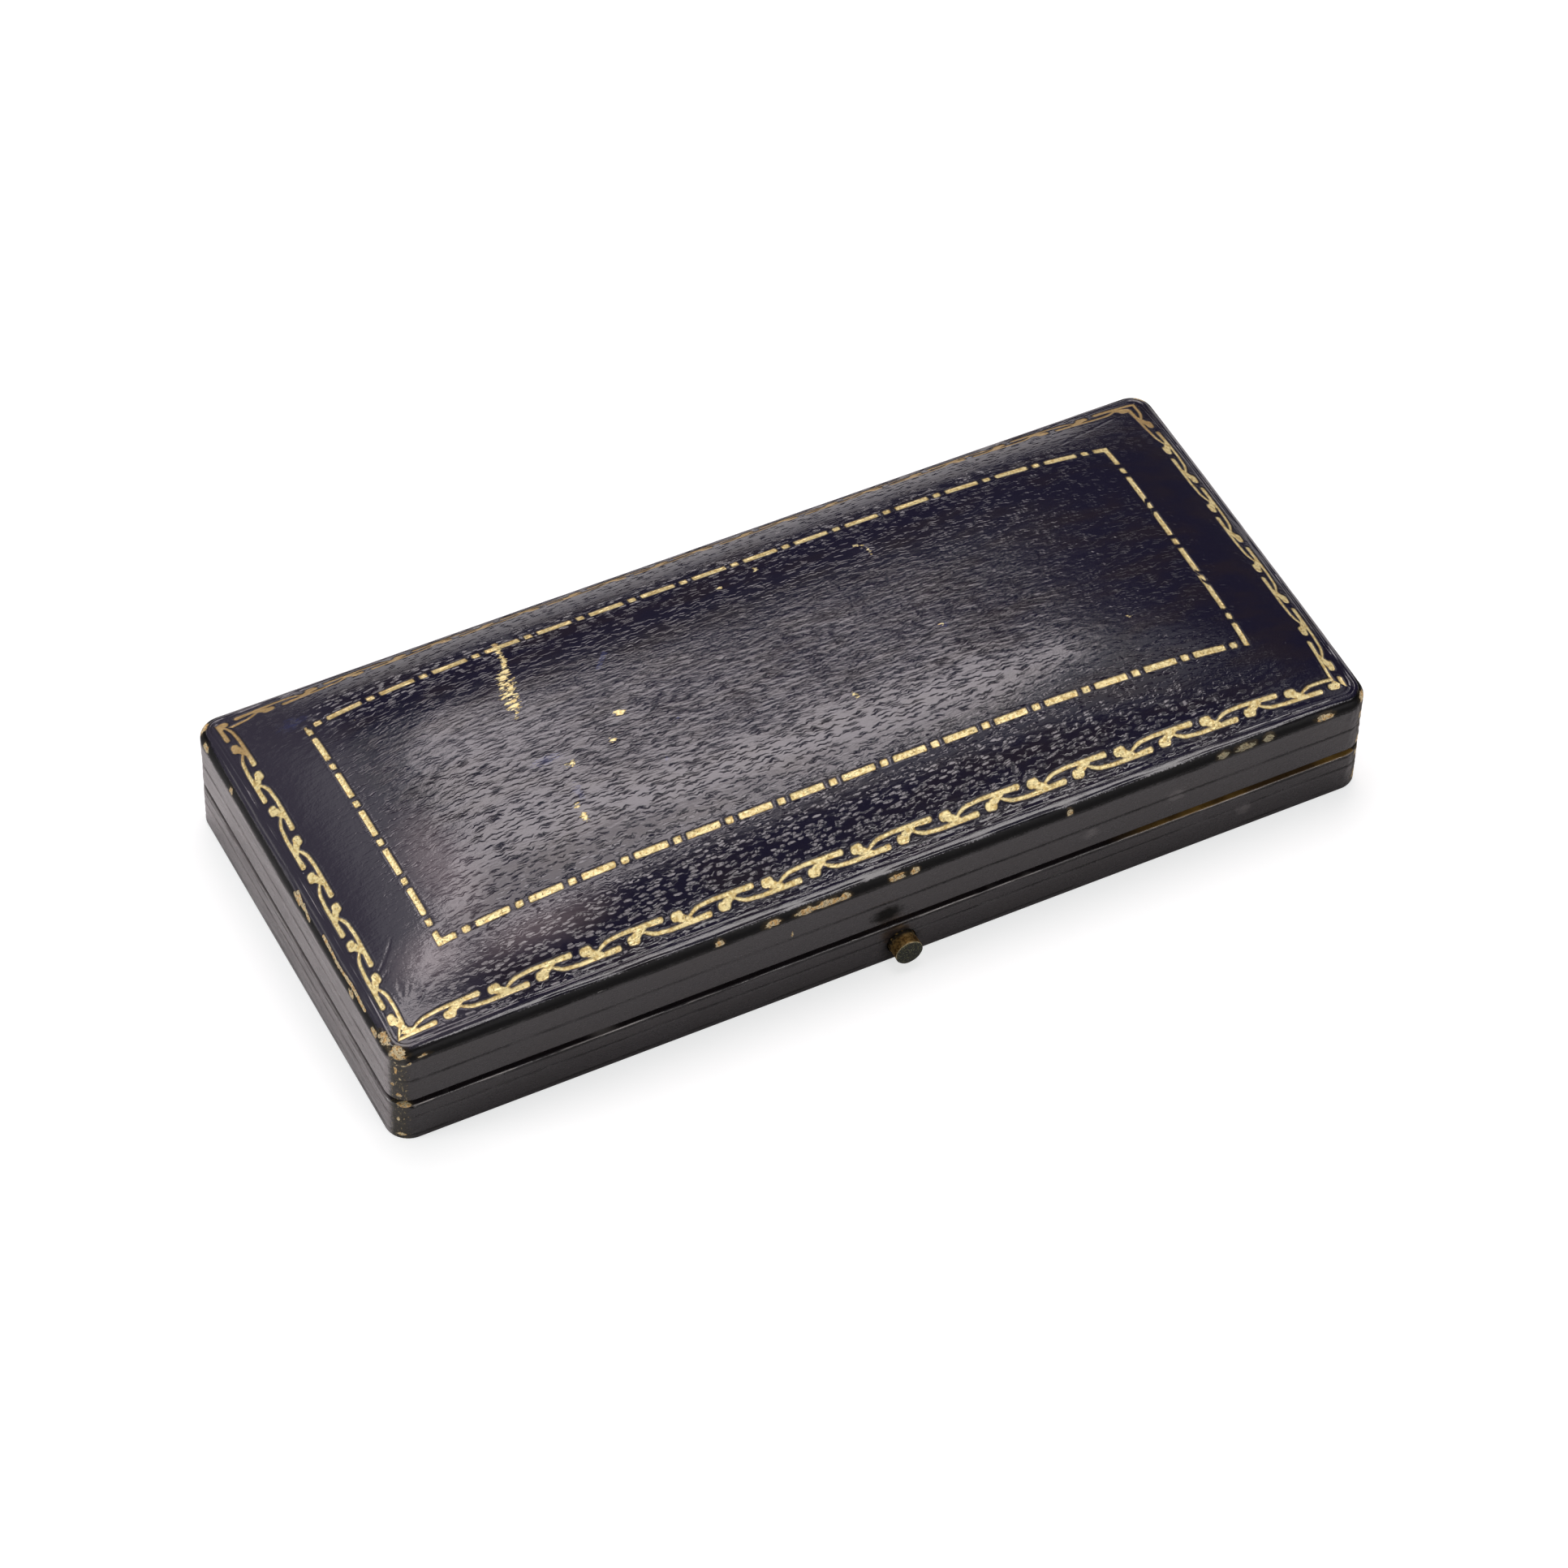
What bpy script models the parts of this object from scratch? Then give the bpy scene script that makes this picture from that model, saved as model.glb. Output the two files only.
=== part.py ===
"""Cufflink box: a leather covered wooden case with a cushioned lid, a pair of brass hinges and a
push-button catch. Metres, +Z up. The origin is on the table under the middle of the box, the button
faces -Y and the hinges are at +Y."""

import math

import bmesh
import bpy
from mathutils import Vector

MM = 0.001

# Outside of the box
BOX_LENGTH = 130 * MM
BOX_DEPTH = 58 * MM
CORNER_RADIUS = 3 * MM
BASE_HEIGHT = 6.2 * MM
PARTING_GAP = 0.9 * MM
LID_WALL_HEIGHT = 7.4 * MM
EDGE_ROUND = 0.25 * MM

# Cushioned top of the lid: a rounded shoulder, then a crown that is flatter along the middle
SHOULDER_RUN = 1.5 * MM
SHOULDER_RISE = 1.3 * MM
CROWN_RISE = 8.3 * MM
CROWN_END_POWER = 4.2
CROWN_END_EASE = 0.8
CROWN_SIDE_POWER = 4.6
CROWN_SIDE_EASE = 1.4
SHOULDER_SHARES = (0.0, 0.02, 0.1, 0.28, 0.6, 1.0)
CROWN_SHARES = (0.04, 0.11, 0.2, 0.33, 0.48, 0.64, 0.8, 0.93)
CROWN_CORNER_GROWTH_SHARE = 0.8
CROWN_CORNER_LIMIT_SHARE = 0.7
CUSHION_EDGE_SHARE = 0.28

# Leather, and the thin layer of glue or air that parts each piece from the next
LEATHER = 0.6 * MM
TURN_IN = 0.45 * MM
UNDER_TURN_WIDTH = 6.5 * MM
SEAT = 0.25 * MM
FIT = 0.3 * MM
OVERRUN = 1 * MM

# Blind lines pressed round the walls
BLIND_LINE_DEPTH = 0.12 * MM
BLIND_LINE_HALF = 0.22 * MM
BASE_LINE_HEIGHT = 3.9 * MM
LID_LINE_HEIGHT = 3.6 * MM

# Wooden carcass
BASE_RAIL = 3 * MM
MITRE_GAP = 0.3 * MM
FLOOR_THICK = 1.2 * MM
TOP_BOARD_THICK = 0.8 * MM

# Lining, collar and pads
INSIDE_RADIUS = 1 * MM
COLLAR_THICK = 0.7 * MM
COLLAR_PROUD = 2.1 * MM
COLLAR_CLEARANCE = 0.25 * MM
PAD_BOARD_THICK = 0.8 * MM
PAD_EDGE_THICK = 3.0 * MM
PAD_CROWN = 0.4 * MM
PAD_ROUND = 0.9 * MM
PAD_RING_SHARES = (0.2, 0.45, 0.7, 0.9)
SLOT_WIDTH = 4.6 * MM
SLOT_LENGTH = 16 * MM
SLOT_SPACING_SHARE = 0.2
SLOT_COUNT = 4
LINING_THICK = 0.25 * MM
LINING_GLUE = 0.15 * MM
LID_PAD_BOARD_THICK = 0.5 * MM
SATIN_EDGE_THICK = 0.7 * MM
SATIN_PUFF = 0.5 * MM
SATIN_ROUND = 0.5 * MM

# Push button in the front wall
BUTTON_X = 1.2 * MM
BUTTON_LEVEL_SHARE = 0.427
BUTTON_HOLE_SHARE = 0.402
BUTTON_OUT = 2.3 * MM
BUTTON_DOME = 0.35 * MM
BUTTON_FACE_SHARES = ((0.0, 0.55), (0.3, 0.85), (1.0, 1.0))
BUTTON_FIT = 0.15 * MM
BUTTON_TRAVEL = 1 * MM
BAR_WIDTH = 5.4 * MM
BAR_THICK = 0.35 * MM
FRONT_WEB = 0.75 * MM

# Leaf spring with its hook, and the striker plate that it holds
LEAF_THICK = 0.3 * MM
LEAF_HEIGHT_SHARE = 0.667
LEAF_REACH = 15 * MM
LEAF_TAIL = 2.6 * MM
HOOK_WIDTH = 4 * MM
NOSE_RISE = 1 * MM
NOSE_TIP_RISE = 0.3 * MM
STRIKER_LENGTH = 12 * MM
STRIKER_THICK = 0.35 * MM
MORTISE_WEB = 0.5 * MM
MORTISE_HEADROOM = 0.6 * MM

# Hinges
HINGE_PLACE_SHARE = 0.2923
HINGE_LENGTH = 16 * MM
HINGE_INSET = 0.85 * MM
KNUCKLE_RADIUS = 0.9 * MM
KNUCKLE_BORE = 0.5 * MM
KNUCKLE_GAP = 0.25 * MM
KNUCKLE_COUNT = 3
PIN_RADIUS = 0.38 * MM
HINGE_LEAF_THICK = 0.35 * MM
HINGE_LEAF_REACH = 2.7 * MM
LID_OPEN_DEGREES = 97
BEVEL_SPARE_DEGREES = 3

# Nails
NAIL_RADIUS = 0.28 * MM
NAIL_HOLE_RADIUS = 0.4 * MM
NAIL_HEAD_RADIUS = 0.55 * MM
NAIL_HEAD_THICK = 0.15 * MM
NAIL_HEAD_CLEARANCE = 0.05 * MM
NAIL_HEAD_TOP_SHARE = 0.75
NAIL_TIP_SHARE = 0.2
NAIL_LENGTH = 2.2 * MM
NAIL_POINT = 0.5 * MM
SHORT_NAIL_LENGTH = 1.2 * MM
HINGE_NAIL_SPREAD = 5 * MM
STRIKER_NAIL_SPREAD = 4.4 * MM
LATCH_NAIL_FIRST = 12.8 * MM
LATCH_NAIL_STEP = 3 * MM

# Fineness of curves
CORNER_STEPS = 4
LONG_STEPS = 16
SHORT_STEPS = 8
ROUND_STEPS = 24
NAIL_STEPS = 10

# Sizes, levels and depths that follow
CARCASS_INSET = LEATHER + SEAT
LID_RAIL = BASE_RAIL + SEAT - LINING_GLUE - LINING_THICK - COLLAR_CLEARANCE
NOSE_REACH = BUTTON_TRAVEL - SEAT
STRIKER_WIDTH = LID_RAIL - 2 * BUTTON_FIT
BASE_INNER = CARCASS_INSET + BASE_RAIL
LID_INNER = CARCASS_INSET + LID_RAIL
BASE_RAIL_LOW = TURN_IN + SEAT
BASE_RAIL_TOP = BASE_HEIGHT - TURN_IN - SEAT
BASE_RAIL_HEIGHT = BASE_RAIL_TOP - BASE_RAIL_LOW
FLOOR_TOP = BASE_RAIL_LOW + FLOOR_THICK
COLLAR_OUTER = BASE_INNER + SEAT
COLLAR_INNER = COLLAR_OUTER + COLLAR_THICK
COLLAR_TOP = BASE_HEIGHT + COLLAR_PROUD
PAD_INSET = COLLAR_INNER + FIT
PAD_BOARD_LOW = FLOOR_TOP + SEAT
PAD_LOW = PAD_BOARD_LOW + PAD_BOARD_THICK + SEAT
LID_LOW = BASE_HEIGHT + PARTING_GAP
LID_RAIL_LOW = LID_LOW + TURN_IN + SEAT
SHOULDER_LOW = LID_LOW + LID_WALL_HEIGHT
TOP_BOARD_TOP = SHOULDER_LOW - LEATHER
TOP_BOARD_LOW = TOP_BOARD_TOP - TOP_BOARD_THICK
LID_RAIL_TOP = TOP_BOARD_LOW - SEAT
LINING_INSET = LID_INNER + LINING_GLUE
LID_PAD_INSET = LINING_INSET + LINING_THICK + FIT
LID_PAD_BOARD_LOW = LID_RAIL_TOP - LID_PAD_BOARD_THICK
SATIN_TOP = LID_PAD_BOARD_LOW - SEAT
SLOT_SPACING = BOX_LENGTH * SLOT_SPACING_SHARE
BUTTON_Z = BASE_RAIL_LOW + BASE_RAIL_HEIGHT * BUTTON_LEVEL_SHARE
BUTTON_RADIUS = BASE_RAIL_HEIGHT * BUTTON_HOLE_SHARE - BUTTON_FIT
LEAF_HEIGHT = BASE_RAIL_HEIGHT * LEAF_HEIGHT_SHARE
HINGE_X = BOX_LENGTH * HINGE_PLACE_SHARE
HINGE_Z = BASE_HEIGHT + PARTING_GAP / 2
BAR_FRONT = CARCASS_INSET + FRONT_WEB + BUTTON_FIT
LEAF_SEAT = BAR_FRONT + BAR_THICK
LEAF_FRONT = LEAF_SEAT + SEAT
LEAF_BACK = LEAF_FRONT + LEAF_THICK
STRIKER_TOP = LID_RAIL_LOW - SEAT
STRIKER_LOW = STRIKER_TOP - STRIKER_THICK
STRIKER_FRONT = CARCASS_INSET + BUTTON_FIT
STRIKER_SLOT_FRONT = LEAF_FRONT - BUTTON_FIT
NOSE_LOW = STRIKER_TOP + SEAT
HOOK_TOP = NOSE_LOW + NOSE_RISE


def clear_scene():
    for item in list(bpy.data.objects):
        bpy.data.objects.remove(item, do_unlink=True)


def front(distance):
    """The place across the box that lies a distance behind its front face."""
    return distance - BOX_DEPTH / 2


def rear(distance):
    """The place across the box that lies a distance before its rear face."""
    return BOX_DEPTH / 2 - distance


def finish(name, colour, roughness, metallic=0.0):
    material = bpy.data.materials.new(name)
    material.use_nodes = True
    shader = material.node_tree.nodes["Principled BSDF"]
    shader.inputs["Base Color"].default_value = (*colour, 1.0)
    shader.inputs["Roughness"].default_value = roughness
    shader.inputs["Metallic"].default_value = metallic
    material.diffuse_color = (*colour, 1.0)
    return material


# Meshes

def make_object(name, mesh_data, material=None, smooth_degrees=35.0):
    """An object from a bmesh, its faces turned outwards and its round sides shaded smooth."""
    bmesh.ops.recalc_face_normals(mesh_data, faces=mesh_data.faces)
    mesh = bpy.data.meshes.new(name)
    mesh_data.to_mesh(mesh)
    mesh_data.free()
    mesh.shade_smooth()
    mesh.set_sharp_from_angle(angle=math.radians(smooth_degrees))
    if material:
        mesh.materials.append(material)
    item = bpy.data.objects.new(name, mesh)
    bpy.context.collection.objects.link(item)
    return item


def rounded_ring(half_length, half_depth, radius, height):
    """A rounded rectangle at one height, anticlockwise from above, from the front right corner."""
    points = []
    corners = ((1, -1), (1, 1), (-1, 1), (-1, -1))
    for index, (side_x, side_y) in enumerate(corners):
        centre_x = side_x * (half_length - radius)
        centre_y = side_y * (half_depth - radius)
        start = math.radians(90 * index - 90)
        for step in range(CORNER_STEPS + 1):
            angle = start + math.radians(90) * step / CORNER_STEPS
            points.append((centre_x + radius * math.cos(angle), centre_y + radius * math.sin(angle)))
        next_x, next_y = corners[(index + 1) % len(corners)]
        next_start = start + math.radians(90)
        goal = (next_x * (half_length - radius) + radius * math.cos(next_start),
                next_y * (half_depth - radius) + radius * math.sin(next_start))
        here = points[-1]
        steps = SHORT_STEPS if index % 2 == 0 else LONG_STEPS
        for step in range(1, steps):
            share = step / steps
            points.append((here[0] + (goal[0] - here[0]) * share, here[1] + (goal[1] - here[1]) * share))
    return [Vector((x, y, height)) for x, y in points]


def box_ring(inset, height):
    """A ring that runs round the box a distance inside its outer face."""
    radius = max(CORNER_RADIUS - inset, INSIDE_RADIUS)
    return rounded_ring(BOX_LENGTH / 2 - inset, BOX_DEPTH / 2 - inset, radius, height)


def strip_cap(mesh_data, ring):
    """Closes a long ring with one face at each short end and a strip of faces between them."""
    count = len(ring)
    middle = CORNER_STEPS + SHORT_STEPS // 2
    end_reach = SHORT_STEPS // 2 + 1
    for start in (middle, middle + count // 2):
        mesh_data.faces.new([ring[(start + step) % count] for step in range(-end_reach, end_reach + 1)])
    for step in range(end_reach, count // 2 - end_reach):
        mesh_data.faces.new((ring[(middle - step) % count], ring[(middle + step) % count],
                             ring[(middle + step + 1) % count], ring[(middle - step - 1) % count]))


def loft(name, rings, material, closed):
    """A skin through a row of rings, closed on itself or capped at its two ends."""
    mesh_data = bmesh.new()
    rows = [[mesh_data.verts.new(point) for point in ring] for ring in rings]
    pairs = list(zip(rows, rows[1:]))
    if closed:
        pairs.append((rows[-1], rows[0]))
    for lower, upper in pairs:
        count = len(lower)
        for index in range(count):
            following = (index + 1) % count
            mesh_data.faces.new((lower[index], lower[following], upper[following], upper[index]))
    if not closed:
        strip_cap(mesh_data, rows[0])
        strip_cap(mesh_data, rows[-1])
    return make_object(name, mesh_data, material)


def prism(name, outline, reach, material=None):
    """A flat outline given as points in space, carried along a vector."""
    mesh_data = bmesh.new()
    near = [mesh_data.verts.new(point) for point in outline]
    face = mesh_data.faces.new(near)
    grown = bmesh.ops.extrude_face_region(mesh_data, geom=[face])
    moved = [item for item in grown["geom"] if isinstance(item, bmesh.types.BMVert)]
    bmesh.ops.translate(mesh_data, verts=moved, vec=reach)
    return make_object(name, mesh_data, material)


def block(name, low, high, material=None):
    """A box between two corners."""
    outline = [(low[0], low[1], low[2]), (high[0], low[1], low[2]),
               (high[0], high[1], low[2]), (low[0], high[1], low[2])]
    return prism(name, outline, Vector((0, 0, high[2] - low[2])), material)


def turned(name, profile, direction, steps, material=None):
    """A solid turned about a line through its origin; the profile is (distance along, radius)."""
    mesh_data = bmesh.new()
    turn = Vector((0, 0, 1)).rotation_difference(Vector(direction)).to_matrix().to_4x4()
    rows = []
    for along, radius in profile:
        row = []
        for step in range(steps):
            angle = math.tau * step / steps
            point = Vector((radius * math.cos(angle), radius * math.sin(angle), along))
            row.append(mesh_data.verts.new(turn @ point))
        rows.append(row)
    for lower, upper in zip(rows, rows[1:]):
        for index in range(steps):
            following = (index + 1) % steps
            mesh_data.faces.new((lower[index], lower[following], upper[following], upper[index]))
    mesh_data.faces.new(list(reversed(rows[0])))
    mesh_data.faces.new(rows[-1])
    return make_object(name, mesh_data, material)


# Cuts and joins

def helper(item):
    """Marks an object as a cutter or a lump that is added to another."""
    item.hide_render = True
    item.display_type = "WIRE"
    return item


def combine(item, tool, operation):
    helper(tool)
    modifier = item.modifiers.new(tool.name, "BOOLEAN")
    modifier.operation = operation
    modifier.solver = "EXACT"
    modifier.object = tool


def cut(item, *tools):
    for tool in tools:
        combine(item, tool, "DIFFERENCE")


def add(item, *tools):
    for tool in tools:
        combine(item, tool, "UNION")


def hold(item, carrier, place=(0, 0, 0)):
    """Hangs a piece on an empty, at a place given in the box's own frame."""
    item.parent = carrier
    item.location = Vector(place) - carrier.location


def make_empty(name, place):
    item = bpy.data.objects.new(name, None)
    item.location = place
    bpy.context.collection.objects.link(item)
    return item


# Leather covers

def quarter_rise(share):
    """The height of a quarter circle at a share of its run."""
    if share >= 1:
        return 1.0
    return math.sqrt(1 - (1 - share) ** 2)


def crown_height(point, inset):
    """The height of the lid's outer face above its shoulder line."""
    end_share = abs(2 * point.x / BOX_LENGTH)
    side_share = abs(2 * point.y / BOX_DEPTH)
    end_fall = (1 - min(end_share, 1) ** CROWN_END_POWER) ** CROWN_END_EASE
    side_fall = (1 - min(side_share, 1) ** CROWN_SIDE_POWER) ** CROWN_SIDE_EASE
    return SHOULDER_RISE * quarter_rise(inset / SHOULDER_RUN) + CROWN_RISE * end_fall * side_fall


def crown_insets():
    """How far inside the box's outline each ring of the lid's top lies."""
    inner_run = BOX_DEPTH / 2 - SHOULDER_RUN
    shoulder = [SHOULDER_RUN * share for share in SHOULDER_SHARES]
    return shoulder + [SHOULDER_RUN + inner_run * share for share in CROWN_SHARES]


def crown_radius(inset):
    """The corner radius of a ring of the lid's top: the box's own on the shoulder, wider on the crown."""
    if inset <= SHOULDER_RUN:
        return CORNER_RADIUS - inset
    grown = CORNER_RADIUS - SHOULDER_RUN + (inset - SHOULDER_RUN) * CROWN_CORNER_GROWTH_SHARE
    return min(grown, (BOX_DEPTH / 2 - inset) * CROWN_CORNER_LIMIT_SHARE)


def crown_rings(drop, first_inset=0.0):
    """Rings of a surface that follows the lid's outer face a distance inside it."""
    rings = []
    for inset in crown_insets():
        if inset < first_inset:
            continue
        half_length = BOX_LENGTH / 2 - inset
        half_depth = BOX_DEPTH / 2 - inset
        radius = crown_radius(inset)
        outer = rounded_ring(half_length, half_depth, radius, 0)
        inner_radius = max(radius - drop, INSIDE_RADIUS / 2)
        ring = rounded_ring(half_length - drop, half_depth - drop, inner_radius, 0)
        for point, above in zip(ring, outer):
            point.z = SHOULDER_LOW + crown_height(above, inset) - drop
        rings.append(ring)
    return rings


def blind_line(height):
    """The rings of a line pressed into a wall."""
    return [(0, height - BLIND_LINE_HALF), (BLIND_LINE_DEPTH, height), (0, height + BLIND_LINE_HALF)]


def base_leather(material):
    edge = EDGE_ROUND
    low_edge = edge * (1 - math.cos(math.radians(45)))
    section = [(UNDER_TURN_WIDTH, 0), (edge, 0), (low_edge, low_edge), (0, edge)]
    section += blind_line(BASE_LINE_HEIGHT)
    section += [(0, BASE_HEIGHT - edge), (low_edge, BASE_HEIGHT - low_edge), (edge, BASE_HEIGHT)]
    section += [(BASE_INNER, BASE_HEIGHT), (BASE_INNER, BASE_HEIGHT - TURN_IN)]
    section += [(LEATHER, BASE_HEIGHT - TURN_IN), (LEATHER, TURN_IN), (UNDER_TURN_WIDTH, TURN_IN)]
    rings = [box_ring(inset, height) for inset, height in section]
    return loft("base_leather", rings, material, closed=True)


def lid_leather(material):
    edge = EDGE_ROUND
    low_edge = edge * (1 - math.cos(math.radians(45)))
    wall = [(edge, LID_LOW), (low_edge, LID_LOW + low_edge), (0, LID_LOW + edge)]
    wall += blind_line(LID_LOW + LID_LINE_HEIGHT)
    inside = [(LEATHER, LID_LOW + TURN_IN), (LID_INNER, LID_LOW + TURN_IN), (LID_INNER, LID_LOW)]
    rings = list(reversed(crown_rings(LEATHER)))
    rings += [box_ring(inset, height) for inset, height in inside]
    rings += [box_ring(inset, height) for inset, height in wall]
    rings += crown_rings(0.0)
    return loft("lid_leather", rings, material, closed=False)


def rear_bevel(side):
    """The wedge cut from the rear edge of the base (-1) or the lid (1), which lets the lid lie back."""
    slope = math.tan(math.radians(LID_OPEN_DEGREES + BEVEL_SPARE_DEGREES) / 2)
    run = HINGE_INSET + OVERRUN
    start = -BOX_LENGTH / 2 - OVERRUN
    outline = [(start, rear(HINGE_INSET), HINGE_Z), (start, rear(-OVERRUN), HINGE_Z),
               (start, rear(-OVERRUN), HINGE_Z + side * slope * run)]
    return prism("rear_bevel_cutter", outline, Vector((BOX_LENGTH + 2 * OVERRUN, 0, 0)))


def hinge_notch(centre, low, high):
    """The space that a hinge takes out of the leather at the rear edge."""
    half = HINGE_LENGTH / 2 + FIT
    return block("hinge_notch_cutter", (centre - half, rear(BASE_INNER + OVERRUN), low),
                 (centre + half, rear(-OVERRUN), high))


def open_leathers(base, lid):
    """Cuts the hinge notches, the rear bevels, the button's hole and the catch's windows."""
    for centre in (-HINGE_X, HINGE_X):
        cut(base, hinge_notch(centre, BASE_RAIL_TOP, BASE_HEIGHT + OVERRUN))
        cut(lid, hinge_notch(centre, LID_LOW - OVERRUN, LID_RAIL_LOW))
    cut(base, rear_bevel(-1), button_hole(front(-OVERRUN)), hook_slot())
    half = STRIKER_LENGTH / 2 + FIT
    window = block("striker_window_cutter",
                   (BUTTON_X - half, front(LEATHER + BUTTON_FIT), LID_LOW - OVERRUN),
                   (BUTTON_X + half, front(LID_INNER + OVERRUN), LID_LOW + TURN_IN + SEAT / 2))
    cut(lid, rear_bevel(1), window)


# Wooden carcass

def rail(name, half_span, half_reach, width, low, high, turn, material):
    """One mitred side of a frame, made as the front one and turned to its place."""
    radius = CORNER_RADIUS - CARCASS_INSET
    outline = []
    for side in (1, -1):
        arc = []
        for step in range(CORNER_STEPS + 1):
            angle = math.radians(45) * step / CORNER_STEPS
            arc.append((side * (half_span - radius + radius * math.sin(angle)),
                        -half_reach + radius - radius * math.cos(angle), low))
        inner = (side * (half_span - width), width - half_reach, low)
        if side == 1:
            outline += arc + [inner]
        else:
            outline += [inner] + list(reversed(arc))
    item = prism(name, outline, Vector((0, 0, high - low)), material)
    item.rotation_euler.z = math.radians(turn)
    return item


def rail_frame(prefix, width, low, high, material):
    """Four mitred rails, keyed by the side of the box that they stand on."""
    half_length = BOX_LENGTH / 2 - CARCASS_INSET
    half_depth = BOX_DEPTH / 2 - CARCASS_INSET
    long_span = half_length - MITRE_GAP / 2
    short_span = half_depth - MITRE_GAP / 2
    places = {"front": (long_span, half_depth, 0), "right": (short_span, half_length, 90),
              "rear": (long_span, half_depth, 180), "left": (short_span, half_length, 270)}
    rails = {}
    for side, (span, reach, turn) in places.items():
        rails[side] = rail(f"{prefix}_{side}_rail", span, reach, width, low, high, turn, material)
    return rails


def plate(name, inset, low, high, material):
    """A flat board or sheet with the box's rounded outline."""
    return prism(name, box_ring(inset, low), Vector((0, 0, high - low)), material)


def button_hole(start):
    hole = turned("button_hole_cutter", [(0, BUTTON_RADIUS + BUTTON_FIT),
                                         (front(BASE_INNER + OVERRUN) - start, BUTTON_RADIUS + BUTTON_FIT)],
                  (0, 1, 0), ROUND_STEPS)
    hole.location = (BUTTON_X, start, BUTTON_Z)
    return hole


def hook_slot():
    """The way up through the rim for the hook, open towards the inside."""
    half = HOOK_WIDTH / 2 + FIT
    return block("hook_slot_cutter", (BUTTON_X - half, front(LEAF_SEAT), BUTTON_Z),
                 (BUTTON_X + half, front(BASE_INNER + OVERRUN), BASE_HEIGHT + OVERRUN))


def cut_catch_pocket(rail_item):
    """Sinks the leaf spring and the button's bar into the back of the front rail."""
    low = BUTTON_Z - LEAF_HEIGHT / 2 - SEAT
    high = BUTTON_Z + LEAF_HEIGHT / 2 + SEAT
    behind = front(BASE_INNER + OVERRUN)
    bar_half = BAR_WIDTH / 2 + FIT
    leaf_bed = block("leaf_bed_cutter", (BUTTON_X - LEAF_REACH - FIT, front(LEAF_SEAT), low),
                     (BUTTON_X + bar_half, behind, high))
    bar_bed = block("bar_bed_cutter", (BUTTON_X - bar_half, front(CARCASS_INSET + FRONT_WEB), low),
                    (BUTTON_X + bar_half, behind, high))
    cut(rail_item, leaf_bed, bar_bed, button_hole(front(-OVERRUN)), hook_slot())
    for place in latch_nail_places():
        cut(rail_item, nail_hole(place, (0, -1, 0), SHORT_NAIL_LENGTH))


def cut_mortise(rail_item):
    """Makes room in the lid's front rail for the hook, over the striker plate."""
    half = HOOK_WIDTH / 2 + FIT
    cut(rail_item, block("mortise_cutter",
                         (BUTTON_X - half, front(CARCASS_INSET + MORTISE_WEB), LID_RAIL_LOW - OVERRUN),
                         (BUTTON_X + half, front(LID_INNER + OVERRUN), HOOK_TOP + MORTISE_HEADROOM)))
    for place in striker_nail_places():
        cut(rail_item, nail_hole(place, (0, 0, 1), NAIL_LENGTH))


# Pads and linings

def band(name, outer, inner, foot, free, edge, material):
    """A band that stands round the inside of the box, softened along its free edge."""
    shoulder = free - edge if free > foot else free + edge
    section = [(inner, foot), (outer, foot), (outer, shoulder), (outer + edge, free),
               (inner - edge, free), (inner, shoulder)]
    return loft(name, [box_ring(inset, height) for inset, height in section], material, closed=True)


def puff_share(point, inset):
    """How much of its crown a pad has at a point, from 0 at its edge to 1 in the middle."""
    half_length = BOX_LENGTH / 2 - inset
    half_depth = BOX_DEPTH / 2 - inset
    return (1 - abs(point.x / half_length) ** 4) * (1 - (point.y / half_depth) ** 2)


def soft_pad(name, inset, flat_level, thickness, crown, edge_round, side, material):
    """A pad with a flat back and a crowned, round-edged face on its upper (1) or lower (-1) side."""
    face_level = flat_level + side * thickness
    rings = [box_ring(inset, flat_level), box_ring(inset, face_level - side * edge_round)]
    for step in range(1, CORNER_STEPS):
        turn = math.radians(90) * step / (CORNER_STEPS - 1)
        rings.append(box_ring(inset + edge_round * (1 - math.cos(turn)),
                              face_level - side * edge_round * (1 - math.sin(turn))))
    half_depth = BOX_DEPTH / 2 - inset
    for share in PAD_RING_SHARES:
        rings.append(box_ring(inset + edge_round + (half_depth - edge_round - INSIDE_RADIUS) * share,
                              face_level))
    for ring in rings[CORNER_STEPS:]:
        for point in ring:
            point.z += side * crown * puff_share(point, inset)
    return loft(name, rings, material, closed=False)


def cufflink_pad(material):
    pad = soft_pad("cufflink_pad", PAD_INSET, PAD_LOW, PAD_EDGE_THICK, PAD_CROWN, PAD_ROUND, 1, material)
    for index in range(SLOT_COUNT):
        centre = SLOT_SPACING * (index - (SLOT_COUNT - 1) / 2)
        high = PAD_LOW + PAD_EDGE_THICK + PAD_CROWN + OVERRUN
        cut(pad, block("slot_cutter", (centre - SLOT_WIDTH / 2, -SLOT_LENGTH / 2, PAD_LOW - OVERRUN),
                       (centre + SLOT_WIDTH / 2, SLOT_LENGTH / 2, high)))
    return pad


# Catch

def push_button(material):
    """The button's round body, with a flat bar at its inner end that keeps it from falling out."""
    outer = front(-BUTTON_OUT)
    body_end = front(BAR_FRONT) + BAR_THICK / 2 - outer
    profile = [(BUTTON_DOME * along, BUTTON_RADIUS * across) for along, across in BUTTON_FACE_SHARES]
    profile.append((body_end, BUTTON_RADIUS))
    button = turned("push_button", profile, (0, 1, 0), ROUND_STEPS, material)
    bar = block("bar_lump", (BUTTON_X - BAR_WIDTH / 2, front(BAR_FRONT), BUTTON_Z - LEAF_HEIGHT / 2),
                (BUTTON_X + BAR_WIDTH / 2, front(LEAF_SEAT), BUTTON_Z + LEAF_HEIGHT / 2))
    add(button, bar)
    return button, (BUTTON_X, outer, BUTTON_Z)


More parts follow.
